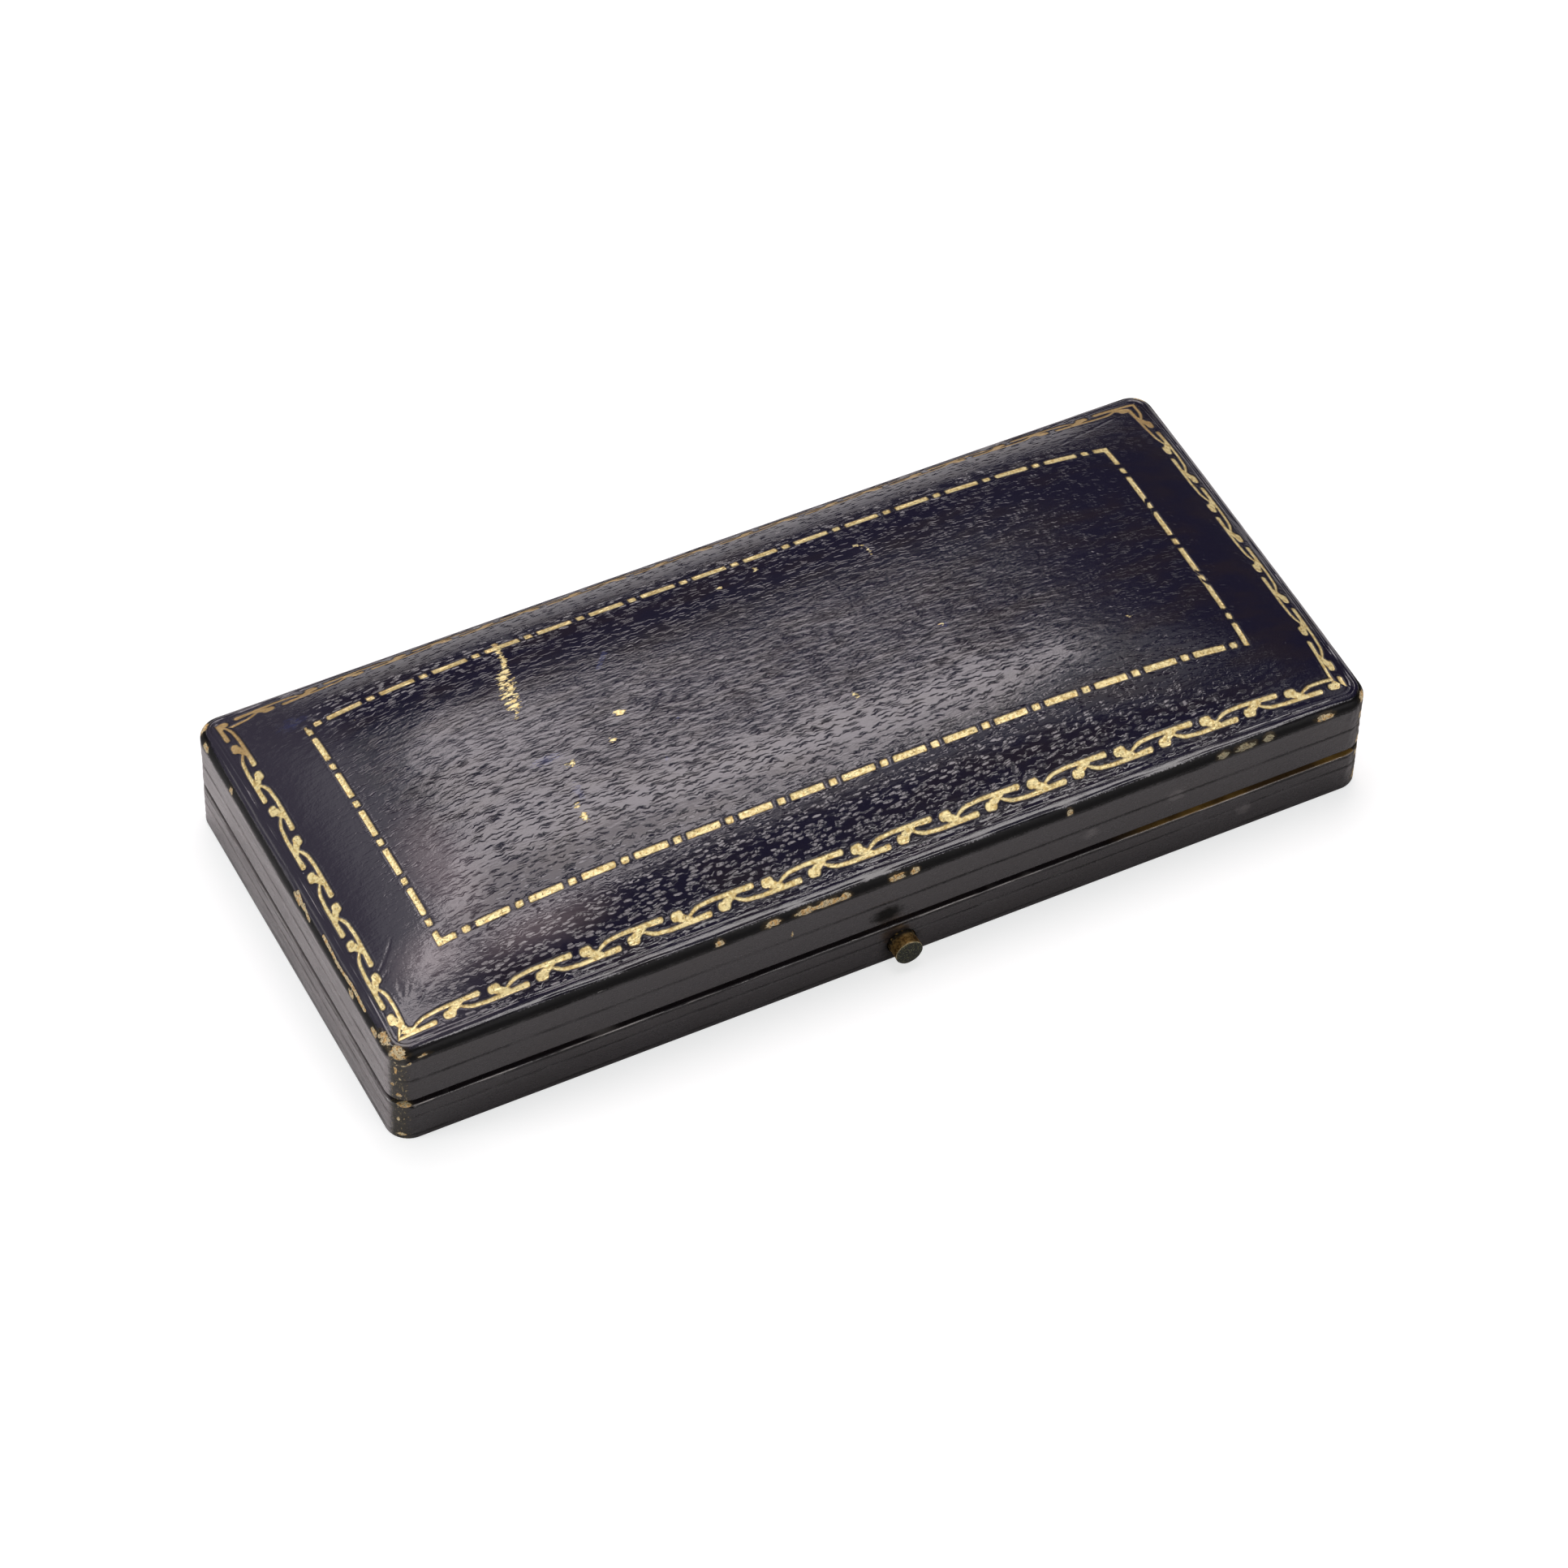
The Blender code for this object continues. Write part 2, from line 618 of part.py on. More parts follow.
def latch_spring(material):
    """A brass leaf nailed at one end, with a hook that rises from its free end."""
    leaf = block("latch_spring", (BUTTON_X - LEAF_REACH, front(LEAF_FRONT), BUTTON_Z - LEAF_HEIGHT / 2),
                 (BUTTON_X + LEAF_TAIL, front(LEAF_BACK), BUTTON_Z + LEAF_HEIGHT / 2), material)
    start = BUTTON_X - HOOK_WIDTH / 2
    nose_tip = front(LEAF_FRONT - NOSE_REACH)
    outline = [(start, front(LEAF_BACK), BUTTON_Z), (start, front(LEAF_BACK), HOOK_TOP),
               (start, front(LEAF_FRONT), HOOK_TOP), (start, nose_tip, NOSE_LOW + NOSE_TIP_RISE),
               (start, nose_tip, NOSE_LOW), (start, front(LEAF_FRONT), NOSE_LOW),
               (start, front(LEAF_FRONT), BUTTON_Z)]
    add(leaf, prism("hook_lump", outline, Vector((HOOK_WIDTH, 0, 0))))
    for place in latch_nail_places():
        cut(leaf, nail_hole(place, (0, -1, 0), SHORT_NAIL_LENGTH))
    return leaf


def striker_plate(material):
    striker = block("striker_plate",
                    (BUTTON_X - STRIKER_LENGTH / 2, front(STRIKER_FRONT), STRIKER_LOW),
                    (BUTTON_X + STRIKER_LENGTH / 2, front(STRIKER_FRONT + STRIKER_WIDTH), STRIKER_TOP),
                    material)
    half = HOOK_WIDTH / 2 + FIT
    cut(striker, block("striker_slot_cutter",
                       (BUTTON_X - half, front(STRIKER_SLOT_FRONT), STRIKER_LOW - OVERRUN),
                       (BUTTON_X + half, front(LID_INNER + OVERRUN), STRIKER_TOP + OVERRUN)))
    for place in striker_nail_places():
        cut(striker, nail_hole(place, (0, 0, 1), NAIL_LENGTH))
    return striker


# Nails

def nail(name, direction, length, material):
    """A nail with a sunk flat head; its origin is on top of the head and it points along the direction."""
    profile = [(0, NAIL_HEAD_RADIUS * NAIL_HEAD_TOP_SHARE), (NAIL_HEAD_THICK / 2, NAIL_HEAD_RADIUS),
               (NAIL_HEAD_THICK, NAIL_HEAD_RADIUS), (NAIL_HEAD_THICK, NAIL_RADIUS),
               (length - NAIL_POINT, NAIL_RADIUS), (length, NAIL_RADIUS * NAIL_TIP_SHARE)]
    return turned(name, profile, direction, NAIL_STEPS, material)


def nail_hole(place, direction, length):
    """The sunk hole for a nail whose head lies flush at a place, to a little past its point."""
    head_radius = NAIL_HEAD_RADIUS + NAIL_HEAD_CLEARANCE
    head_depth = NAIL_HEAD_THICK + NAIL_HEAD_CLEARANCE
    profile = [(-NAIL_POINT, head_radius), (head_depth, head_radius), (head_depth, NAIL_HOLE_RADIUS),
               (length + FIT, NAIL_HOLE_RADIUS)]
    hole = turned("nail_hole_cutter", profile, direction, NAIL_STEPS)
    hole.location = place
    return hole


def latch_nail_places():
    return [(BUTTON_X - LATCH_NAIL_FIRST + LATCH_NAIL_STEP * index, front(LEAF_BACK), BUTTON_Z)
            for index in range(2)]


def striker_nail_places():
    across = front(STRIKER_FRONT + STRIKER_WIDTH / 2)
    return [(BUTTON_X + side * STRIKER_NAIL_SPREAD, across, STRIKER_LOW) for side in (-1, 1)]


def hinge_nail_places(centre, part):
    """Where the nails' heads sit on the base leaf (-1) or the lid leaf (1)."""
    across = rear(HINGE_INSET + (KNUCKLE_RADIUS + KNUCKLE_GAP + HINGE_LEAF_REACH) / 2)
    level = BASE_HEIGHT if part == -1 else LID_LOW
    return [(centre + side * HINGE_NAIL_SPREAD, across, level) for side in (-1, 1)]


# Hinges

def knuckle_spans():
    """The stretch that each knuckle takes along the pin, from the hinge's middle."""
    step = (HINGE_LENGTH + KNUCKLE_GAP) / KNUCKLE_COUNT
    first = -HINGE_LENGTH / 2
    return [(first + step * index, first + step * (index + 1) - KNUCKLE_GAP)
            for index in range(KNUCKLE_COUNT)]


def hinge_leaf(name, centre, part, material):
    """A leaf let into the rim of the base (-1) or the lid (1), with the knuckles that are rolled on it."""
    if part == -1:
        low = BASE_HEIGHT - HINGE_LEAF_THICK
        high = BASE_HEIGHT
        own = [span for index, span in enumerate(knuckle_spans()) if index % 2 == 0]
    else:
        low = LID_LOW
        high = LID_LOW + HINGE_LEAF_THICK
        own = [span for index, span in enumerate(knuckle_spans()) if index % 2 == 1]
    leaf_edge = rear(HINGE_INSET + KNUCKLE_RADIUS + KNUCKLE_GAP)
    leaf_end = rear(HINGE_INSET + HINGE_LEAF_REACH)
    leaf = block(name, (centre - HINGE_LENGTH / 2, leaf_end, low),
                 (centre + HINGE_LENGTH / 2, leaf_edge, high), material)
    tab_start = rear(HINGE_INSET + KNUCKLE_BORE * math.sin(math.radians(60)))
    for start, end in own:
        tab = block("knuckle_tab_lump", (centre + start, leaf_edge - KNUCKLE_GAP, low),
                    (centre + end, tab_start, high))
        barrel = turned("knuckle_lump", [(0, KNUCKLE_RADIUS), (end - start, KNUCKLE_RADIUS)], (1, 0, 0),
                        ROUND_STEPS)
        barrel.location = (centre + start, rear(HINGE_INSET), HINGE_Z)
        add(leaf, tab, barrel)
    bore = turned("knuckle_bore_cutter", [(-OVERRUN, KNUCKLE_BORE), (HINGE_LENGTH + OVERRUN, KNUCKLE_BORE)],
                  (1, 0, 0), ROUND_STEPS)
    bore.location = (centre - HINGE_LENGTH / 2, rear(HINGE_INSET), HINGE_Z)
    cut(leaf, bore)
    for place in hinge_nail_places(centre, part):
        cut(leaf, nail_hole(place, (0, 0, part), NAIL_LENGTH))
    return leaf


def cut_hinge_nail_holes(rail_item, part):
    for centre in (-HINGE_X, HINGE_X):
        for place in hinge_nail_places(centre, part):
            cut(rail_item, nail_hole(place, (0, 0, part), NAIL_LENGTH))


def build_hinges(base, lid, brass):
    for side, centre in (("left", -HINGE_X), ("right", HINGE_X)):
        hold(hinge_leaf(f"hinge_{side}_base_leaf", centre, -1, brass), base)
        hold(hinge_leaf(f"hinge_{side}_lid_leaf", centre, 1, brass), lid)
        pin = turned(f"hinge_{side}_pin", [(0, PIN_RADIUS), (HINGE_LENGTH, PIN_RADIUS)], (1, 0, 0),
                     ROUND_STEPS, brass)
        hold(pin, base, (centre - HINGE_LENGTH / 2, rear(HINGE_INSET), HINGE_Z))
        for part, carrier, part_name in ((-1, base, "base"), (1, lid, "lid")):
            for number, place in enumerate(hinge_nail_places(centre, part), start=1):
                hold(nail(f"hinge_{side}_{part_name}_nail_{number}", (0, 0, part), NAIL_LENGTH, brass),
                     carrier, place)


def build_base(base, leather, wood, card, velvet, lining, brass):
    rails = rail_frame("base", BASE_RAIL, BASE_RAIL_LOW, BASE_RAIL_TOP, wood)
    cut_catch_pocket(rails["front"])
    cut_hinge_nail_holes(rails["rear"], -1)
    for item in rails.values():
        hold(item, base)
    hold(plate("underside_sheet", UNDER_TURN_WIDTH + FIT, 0, TURN_IN, card), base)
    hold(plate("base_floor_board", BASE_INNER + SEAT, BASE_RAIL_LOW, FLOOR_TOP, wood), base)
    hold(plate("cufflink_pad_board", PAD_INSET, PAD_BOARD_LOW, PAD_BOARD_LOW + PAD_BOARD_THICK, card), base)
    hold(cufflink_pad(velvet), base)
    hold(band("inner_collar", COLLAR_OUTER, COLLAR_INNER, FLOOR_TOP + SEAT, COLLAR_TOP, COLLAR_THICK / 3,
              lining), base)
    hold(latch_spring(brass), base)
    for number, place in enumerate(latch_nail_places(), start=1):
        hold(nail(f"latch_nail_{number}", (0, -1, 0), SHORT_NAIL_LENGTH, brass), base, place)
    skin = base_leather(leather)
    hold(skin, base)
    return skin


def build_lid(lid, leather, wood, card, satin, wadding, lining, brass):
    rails = rail_frame("lid", LID_RAIL, LID_RAIL_LOW, LID_RAIL_TOP, wood)
    cut_mortise(rails["front"])
    cut_hinge_nail_holes(rails["rear"], 1)
    for item in rails.values():
        hold(item, lid)
    hold(plate("lid_top_board", CARCASS_INSET, TOP_BOARD_LOW, TOP_BOARD_TOP, wood), lid)
    cushion_top = crown_rings(LEATHER + SEAT, SHOULDER_RUN * CUSHION_EDGE_SHARE)
    cushion_foot = [point.copy() for point in cushion_top[0]]
    for point in cushion_foot:
        point.z = TOP_BOARD_TOP + SEAT
    cushion = loft("lid_cushion", [cushion_foot] + cushion_top, wadding, closed=False)
    hold(cushion, lid)
    strip = band("lid_lining", LINING_INSET, LINING_INSET + LINING_THICK, LID_RAIL_TOP, LID_LOW + SEAT,
                 LINING_THICK / 3, lining)
    half = HOOK_WIDTH / 2 + FIT
    cut(strip, block("lining_notch_cutter", (BUTTON_X - half, front(LID_INNER), LID_LOW - OVERRUN),
                     (BUTTON_X + half, front(LID_PAD_INSET), HOOK_TOP + MORTISE_HEADROOM)))
    hold(strip, lid)
    hold(plate("lid_pad_board", LID_PAD_INSET, LID_PAD_BOARD_LOW, LID_RAIL_TOP, card), lid)
    hold(soft_pad("lid_satin_pad", LID_PAD_INSET, SATIN_TOP, SATIN_EDGE_THICK, SATIN_PUFF, SATIN_ROUND, -1,
                  satin), lid)
    hold(striker_plate(brass), lid)
    for side, place in zip(("left", "right"), striker_nail_places()):
        hold(nail(f"striker_{side}_nail", (0, 0, 1), NAIL_LENGTH, brass), lid, place)
    skin = lid_leather(leather)
    hold(skin, lid)
    return skin


def build():
    clear_scene()
    leather = finish("glazed_leather", (0.03, 0.028, 0.045), 0.28)
    wood = finish("bare_wood", (0.42, 0.27, 0.14), 0.6)
    card = finish("grey_card", (0.28, 0.25, 0.22), 0.85)
    velvet = finish("blue_velvet", (0.03, 0.035, 0.12), 0.95)
    satin = finish("cream_satin", (0.78, 0.72, 0.58), 0.4)
    wadding = finish("cotton_wadding", (0.8, 0.77, 0.7), 0.95)
    lining = finish("gold_paper", (0.45, 0.3, 0.1), 0.45)
    brass = finish("aged_brass", (0.42, 0.28, 0.1), 0.4, 1.0)

    base = make_empty("base", (0, 0, 0))
    lid = make_empty("lid_on_hinge_axis", (0, rear(HINGE_INSET), HINGE_Z))
    lid.parent = base
    button_seat = make_empty("button_on_its_axis", (BUTTON_X, 0, BUTTON_Z))
    button_seat.parent = base

    base_skin = build_base(base, leather, wood, card, velvet, lining, brass)
    lid_skin = build_lid(lid, leather, wood, card, satin, wadding, lining, brass)
    open_leathers(base_skin, lid_skin)
    build_hinges(base, lid, brass)
    button, place = push_button(brass)
    hold(button, button_seat, place)


build()
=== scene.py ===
# %% [markdown]
# A cufflink box, dressed over its CAD frame.
# The box is a thin wooden carcass covered with glazed navy leather. Its lid is cushioned with cotton
# wadding and tooled with gold leaf. The imported CAD model is loaded first and stays as it is: each new
# piece but the spring rides on one of its bodies, so the lid opens and the button moves with everything
# on them.

# %% Load the frame
import math

import bpy
import bmesh
import numpy as np
from mathutils import Matrix, Vector


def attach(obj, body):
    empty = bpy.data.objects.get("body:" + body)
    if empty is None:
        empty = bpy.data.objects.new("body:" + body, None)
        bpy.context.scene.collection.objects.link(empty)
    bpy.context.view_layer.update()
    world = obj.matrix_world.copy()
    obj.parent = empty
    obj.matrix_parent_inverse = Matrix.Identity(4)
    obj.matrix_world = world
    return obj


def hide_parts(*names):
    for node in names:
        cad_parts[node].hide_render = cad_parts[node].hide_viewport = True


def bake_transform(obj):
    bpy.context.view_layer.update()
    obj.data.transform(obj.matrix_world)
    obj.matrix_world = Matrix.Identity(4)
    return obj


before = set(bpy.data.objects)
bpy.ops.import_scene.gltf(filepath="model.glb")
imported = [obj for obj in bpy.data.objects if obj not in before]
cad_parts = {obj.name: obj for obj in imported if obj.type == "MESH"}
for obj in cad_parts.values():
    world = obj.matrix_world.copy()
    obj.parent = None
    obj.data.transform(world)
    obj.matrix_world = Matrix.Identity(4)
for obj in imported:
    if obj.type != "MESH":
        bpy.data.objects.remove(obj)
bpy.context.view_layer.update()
MM = 0.001
scene = bpy.context.scene

# %% [markdown]
# The sizes below are the box's own, in millimetres, as the CAD model has them. The lid's top is a
# rounded shoulder with a cushioned crown on it, and one height formula gives both. Working in
# millimetres keeps the numbers of the tooling readable. They turn into metres when a mesh is made.

# %% Sizes of the box
LENGTH, DEPTH, CORNER = 130.0, 58.0, 3.0
HALF_X, HALF_Y = LENGTH / 2, DEPTH / 2
BASE_TOP, LID_LOW, WALL_TOP = 6.2, 7.1, 14.5
SHOULDER_RUN, SHOULDER_RISE, CROWN_RISE = 1.5, 1.3, 8.3
# How late and how roundly the crown falls away towards its ends and its long sides
END_FALL, SIDE_FALL = (4.2, 0.8), (4.6, 1.4)
SKIN, TURN_IN, UNDER_TURN = 0.6, 0.45, 6.5
BASE_INNER, LID_INNER = 3.85, 3.45
HINGE_X, HINGE_Z, HINGE_LENGTH = 38.0, 6.65, 16.0
BUTTON_X, BUTTON_Z = 1.2, 2.75
# Levels of the blind line round each wall, and of the crease above it
LID_LINES, BASE_LINES = (LID_LOW + 3.6, 14.2), (3.9, 5.78)


def crown_level(x, y, inset):
    """The height of the lid's outer face at a plan point that lies an inset inside the outline."""
    end, side = ((1 - np.minimum(np.abs(value / half), 1) ** late) ** rounded
                 for value, half, (late, rounded) in ((x, HALF_X, END_FALL), (y, HALF_Y, SIDE_FALL)))
    run = np.clip(inset / SHOULDER_RUN, 0, 1)
    return WALL_TOP + SHOULDER_RISE * np.sqrt(1 - (1 - run) ** 2) + CROWN_RISE * end * side


print("top of the crown in mm:", round(float(crown_level(0.0, 0.0, 9.0)), 2))

# %% [markdown]
# The camera stands high in front of the box, a little to its left, with a long lens. Its place was
# worked out from the box's edges and gilt lines, so that they fall where the photograph has them.
# The small roll is the tilt that the photograph has.

# %% Camera
FRAME_PIXELS, FOCAL_PIXELS, SENSOR = 1932, 7826.5, 36
AIM, DISTANCE = (0.94, 1.47, 0), 0.7771
TURN, CLIMB, ROLL = (math.radians(angle) for angle in (-28.083, 48.645, 1.725))


def add_object(name, data):
    """A new object in the scene that shows a mesh, a lamp or a camera."""
    item = bpy.data.objects.new(name, data)
    scene.collection.objects.link(item)
    return item


def place_camera():
    back = Vector((math.sin(TURN) * math.cos(CLIMB), -math.cos(TURN) * math.cos(CLIMB), math.sin(CLIMB)))
    right = (-back).cross(Vector((0, 0, 1))).normalized()
    up = right.cross(-back)
    level_right = right * math.cos(ROLL) + up * math.sin(ROLL)
    level_up = up * math.cos(ROLL) - right * math.sin(ROLL)
    data = bpy.data.cameras.new("photo_camera")
    data.sensor_width, data.lens = SENSOR, SENSOR * FOCAL_PIXELS / FRAME_PIXELS
    data.clip_start, data.clip_end = 0.01, 50
    camera = add_object("photo_camera", data)
    turned = Matrix((level_right, level_up, back)).transposed().to_4x4()
    camera.matrix_world = Matrix.Translation(Vector(AIM) * MM + back * DISTANCE) @ turned
    scene.camera = camera
    print("lens in mm:", round(data.lens, 1))


place_camera()

# %% [markdown]
# Shader maths is easier to read as Python. This class wraps one output socket of a node tree, so
# that a * 2 or 1 - mask adds the node that does it. The method node makes any other node, and tint
# turns a mask into a colour.

# %% Shader sockets as values
def set_socket(socket, value):
    """Links a wire to a socket, or writes a plain value; on a colour socket, three numbers are a colour."""
    if isinstance(value, Wire):
        value.tree.links.new(value.socket, socket)
    elif isinstance(value, tuple) and len(value) == 3 and socket.type == "RGBA":
        socket.default_value = (*value, 1)
    else:
        socket.default_value = value


class Wire:
    """One output socket of a material's nodes, with arithmetic."""

    def __init__(self, tree, socket):
        self.tree, self.socket = tree, socket

    def node(self, kind, settings=None, out=0, **values):
        """A node of a kind, with its settings and then its sockets: by name, or i0, i1 and so on."""
        made = self.tree.nodes.new(kind)
        for key, value in (settings or {}).items():
            setattr(made, key, value)
        for key, value in values.items():
            numbered = key[0] == "i" and key[1:].isdigit()
            set_socket(made.inputs[int(key[1:]) if numbered else key.replace("_", " ")], value)
        return Wire(self.tree, made.outputs[out])

    def maths(self, operation, *terms):
        return self.node("ShaderNodeMath", {"operation": operation},
                         **{f"i{index}": term for index, term in enumerate(terms)})

    def vector(self, operation, other):
        return self.node("ShaderNodeVectorMath", {"operation": operation}, i0=self, i1=other)

    def __add__(self, other):
        return self.maths("ADD", self, other)

    def __sub__(self, other):
        return self.maths("SUBTRACT", self, other)

    def __rsub__(self, other):
        return self.maths("SUBTRACT", other, self)

    def __mul__(self, other):
        return self.maths("MULTIPLY", self, other)

    __radd__, __rmul__ = __add__, __mul__

    def above(self, low, high):
        """0 below low, 1 above high, and smooth between them; the other way where low is the larger."""
        return self.node("ShaderNodeMapRange", {"interpolation_type": "SMOOTHSTEP"}, Value=self,
                         From_Min=low, From_Max=high)

    def size(self):
        return self.maths("ABSOLUTE", self)

    def least(self, other):
        return self.maths("MINIMUM", self, other)

    def most(self, other):
        return self.maths("MAXIMUM", self, other)

    def scaled(self, x, y, z):
        """A vector with each part multiplied."""
        return self.vector("MULTIPLY", (x, y, z))

    def shifted(self, other):
        return self.vector("ADD", other)

    def part(self, index):
        """One number of a vector: 0 for x, 1 for y and 2 for z."""
        return self.node("ShaderNodeSeparateXYZ", out=index, Vector=self)

    def tint(self, low, high):
        """One colour where this mask is 0 and another where it is 1."""
        return self.node("ShaderNodeMix", {"data_type": "RGBA", "clamp_factor": True}, out=2,
                         i0=self, i6=low, i7=high)

    def blend(self, other, factor):
        """From this colour to another one."""
        return factor.tint(self, other)

    def noise(self, size, detail=2.0, rough=0.5, warp=0.0):
        """Cloudy noise from 0 to 1 over a position in mm; size is a cloud's width, or its three widths."""
        if isinstance(size, tuple):
            return self.scaled(*(1 / width for width in size)).noise(1.0, detail, rough, warp)
        return self.node("ShaderNodeTexNoise", {"noise_dimensions": "3D"}, Vector=self,
                         Scale=1.0 / size, Detail=detail, Roughness=rough, Distortion=warp)

    def field(self, size):
        """A random vector that changes smoothly, from about -0.5 to 0.5."""
        return self.node("ShaderNodeTexNoise", {"noise_dimensions": "3D"}, out=1, Vector=self,
                         Scale=1.0 / size, Detail=1.0).shifted((-0.5, -0.5, -0.5))


def start_material(name):
    """A material with its shader, and the position on the object in mm as a wire."""
    material = bpy.data.materials.new(name)
    material.use_nodes = True
    tree = material.node_tree
    place = Wire(tree, tree.nodes.new("ShaderNodeTexCoord").outputs["Object"])
    return material, tree.nodes["Principled BSDF"], place.scaled(1 / MM, 1 / MM, 1 / MM)


def feed(shader, **values):
    """Sets or links the shader's sockets; spaces in their names are written as underscores."""
    for key, value in values.items():
        set_socket(shader.inputs[key.replace("_", " ")], value)


def relief(height):
    """A normal from a height in mm."""
    return height.node("ShaderNodeBump", Height=height, Distance=MM, Strength=1.0)


print("shader helpers ready")

# %% [markdown]
# The studio is a white sheet of paper, a large soft box overhead and a long low card in front.
# Glazed leather is mostly a dark mirror, so the lamps' shapes matter more than their strength: the
# box overhead gives the broad sheen on the crown, and the card catches the rim. To the camera, the
# floor is partly a plain white that needs no light, so that it looks white and keeps a soft shadow.

# %% Floor and lamps
PAPER_REACH, WHITE = 3.0, (1, 1, 1)
# Each lamp: its place, size, how bright its face looks, turn and tilt in degrees, and tint
LAMPS = {
    "overhead_core": ((0.07, 0.22, 0.9), (0.38, 0.44), 2.0, -28, 0, (1.0, 0.88, 0.89)),
    "overhead_wide": ((0.12, 0.33, 0.9), (0.56, 0.84), 4.3, -28, 0, (1.0, 0.91, 0.93)),
    "overhead_haze": ((0.10, 0.34, 0.92), (1.35, 0.84), 0.5, -28, 0, WHITE),
    "front_card": ((0.36, -0.98, 0.53), (1.0, 0.34), 5.0, 20, 63, (1.0, 0.96, 0.94)),
    "left_card": ((-1.3, 0.25, 0.55), (0.6, 0.6), 8.0, -90, 65, WHITE),
}


def make_floor():
    mesh = bpy.data.meshes.new("paper_floor")
    corners = [(x * PAPER_REACH, y * PAPER_REACH, 0) for x, y in ((-1, -1), (1, -1), (1, 1), (-1, 1))]
    mesh.from_pydata(corners, [], [(0, 1, 2, 3)])
    floor = add_object("paper_floor", mesh)
    material, shader, place = start_material("white_paper")
    paper = place.noise(0.8, 3.0).tint((0.86, 0.86, 0.86), (0.84, 0.84, 0.84))
    mirrored, seen, seen_through = (place.node("ShaderNodeLightPath", out=f"Is {kind} Ray")
                                    for kind in ("Glossy", "Camera", "Transmission"))
    feed(shader, Base_Color=paper.blend((0.60, 0.60, 0.60), mirrored), Roughness=0.95,
         Specular_IOR_Level=0.1)
    away = place.node("ShaderNodeVectorMath", {"operation": "LENGTH"}, out=1, i0=place)
    plain = away.above(80.0, 260.0).tint((0.64, 0.65, 0.65), WHITE)
    glow = place.node("ShaderNodeEmission", Color=plain, Strength=1.0)
    lit = place.node("ShaderNodeBsdfDiffuse", Color=(0.48, 0.48, 0.48))
    choice = place.node("ShaderNodeMixShader", i0=seen.most(seen_through),
                        i1=Wire(place.tree, shader.outputs[0]),
                        i2=place.node("ShaderNodeAddShader", i0=lit, i1=glow))
    set_socket(place.tree.nodes["Material Output"].inputs[0], choice)
    mesh.materials.append(material)


def make_lamp(name, place, size, radiance, turn, tilt, tint):
    """A soft box: its power follows from its size and how bright its face looks. Tilted 0 it faces down."""
    data = bpy.data.lights.new(name, "AREA")
    data.shape, data.color = "RECTANGLE", tint
    data.size, data.size_y = size
    data.energy = radiance * math.pi * size[0] * size[1]
    lamp = add_object(name, data)
    lamp.location = place
    lamp.rotation_euler = (math.radians(tilt), 0, math.radians(turn))
    print(name, "power in W:", round(data.energy, 2))


def make_sky():
    """A dim room; the camera itself sees white where the paper ends."""
    world = bpy.data.worlds.new("studio_room")
    scene.world = world
    world.use_nodes = True
    nodes = world.node_tree.nodes
    seen = Wire(world.node_tree, nodes.new("ShaderNodeLightPath").outputs["Is Camera Ray"])
    set_socket(nodes["Background"].inputs["Color"], seen.tint((0.045, 0.045, 0.05), WHITE))


make_floor()
for lamp_name, lamp_values in LAMPS.items():
    make_lamp(lamp_name, *lamp_values)
make_sky()
scene.view_settings.view_transform = "Standard"

# %% [markdown]
# The gold border was pressed with a brass roll: a short pattern of a ball, a stem, a bar and a thin
# curve that repeats and flips from side to side. It is drawn here as strokes, each a row of points
# with a half width. For every vertex of the skin, the signed distance to the nearest stroke is
# worked out, positive inside it. That number presses the leather down and later lays the gold.

# %% Gold roll as distances
NOWHERE = -9.0
ROLL_WIDTH, UNIT = 1.65, 11.76
STROKES = [
    [(-0.3, 1.12, 0.46), (0.4, 1.15, 0.47)],
    [(0.3, 0.95, 0.45), (1.1, 0.6, 0.36), (1.7, 0.4, 0.26)],
    [(-2.9, 0.33, 0.2), (-1.0, 0.2, 0.21), (0.6, 0.22, 0.23), (2.4, 0.27, 0.27), (3.95, 0.3, 0.31)],
    [(-4.6, 1.0, 0.13), (-3.9, 0.64, 0.19), (-3.35, 0.44, 0.21), (-2.9, 0.33, 0.2)],
]
# For each side: the length of a unit, where one starts, and how far in the band lies at both ends
SIDES = {"front": (11.76, -50.65, 2.2, 2.4), "right": (11.3, 4.9, 2.3, 2.4),
         "rear": (11.7, 56.3, 2.2, 2.1), "left": (11.4, 6.8, 2.1, 1.65)}


def stroke_distance(along, across):
    """Signed distance to one half unit of the roll, both in mm, positive inside a stroke."""
    best = np.full(along.shape, NOWHERE)
    for stroke in STROKES:
        for (x0, y0, r0), (x1, y1, r1) in zip(stroke, stroke[1:]):
            dx, dy = x1 - x0, y1 - y0
            share = np.clip(((along - x0) * dx + (across - y0) * dy) / (dx * dx + dy * dy), 0, 1)
            gap = np.hypot(along - x0 - share * dx, across - y0 - share * dy)
            best = np.maximum(best, r0 + (r1 - r0) * share - gap)
    return best


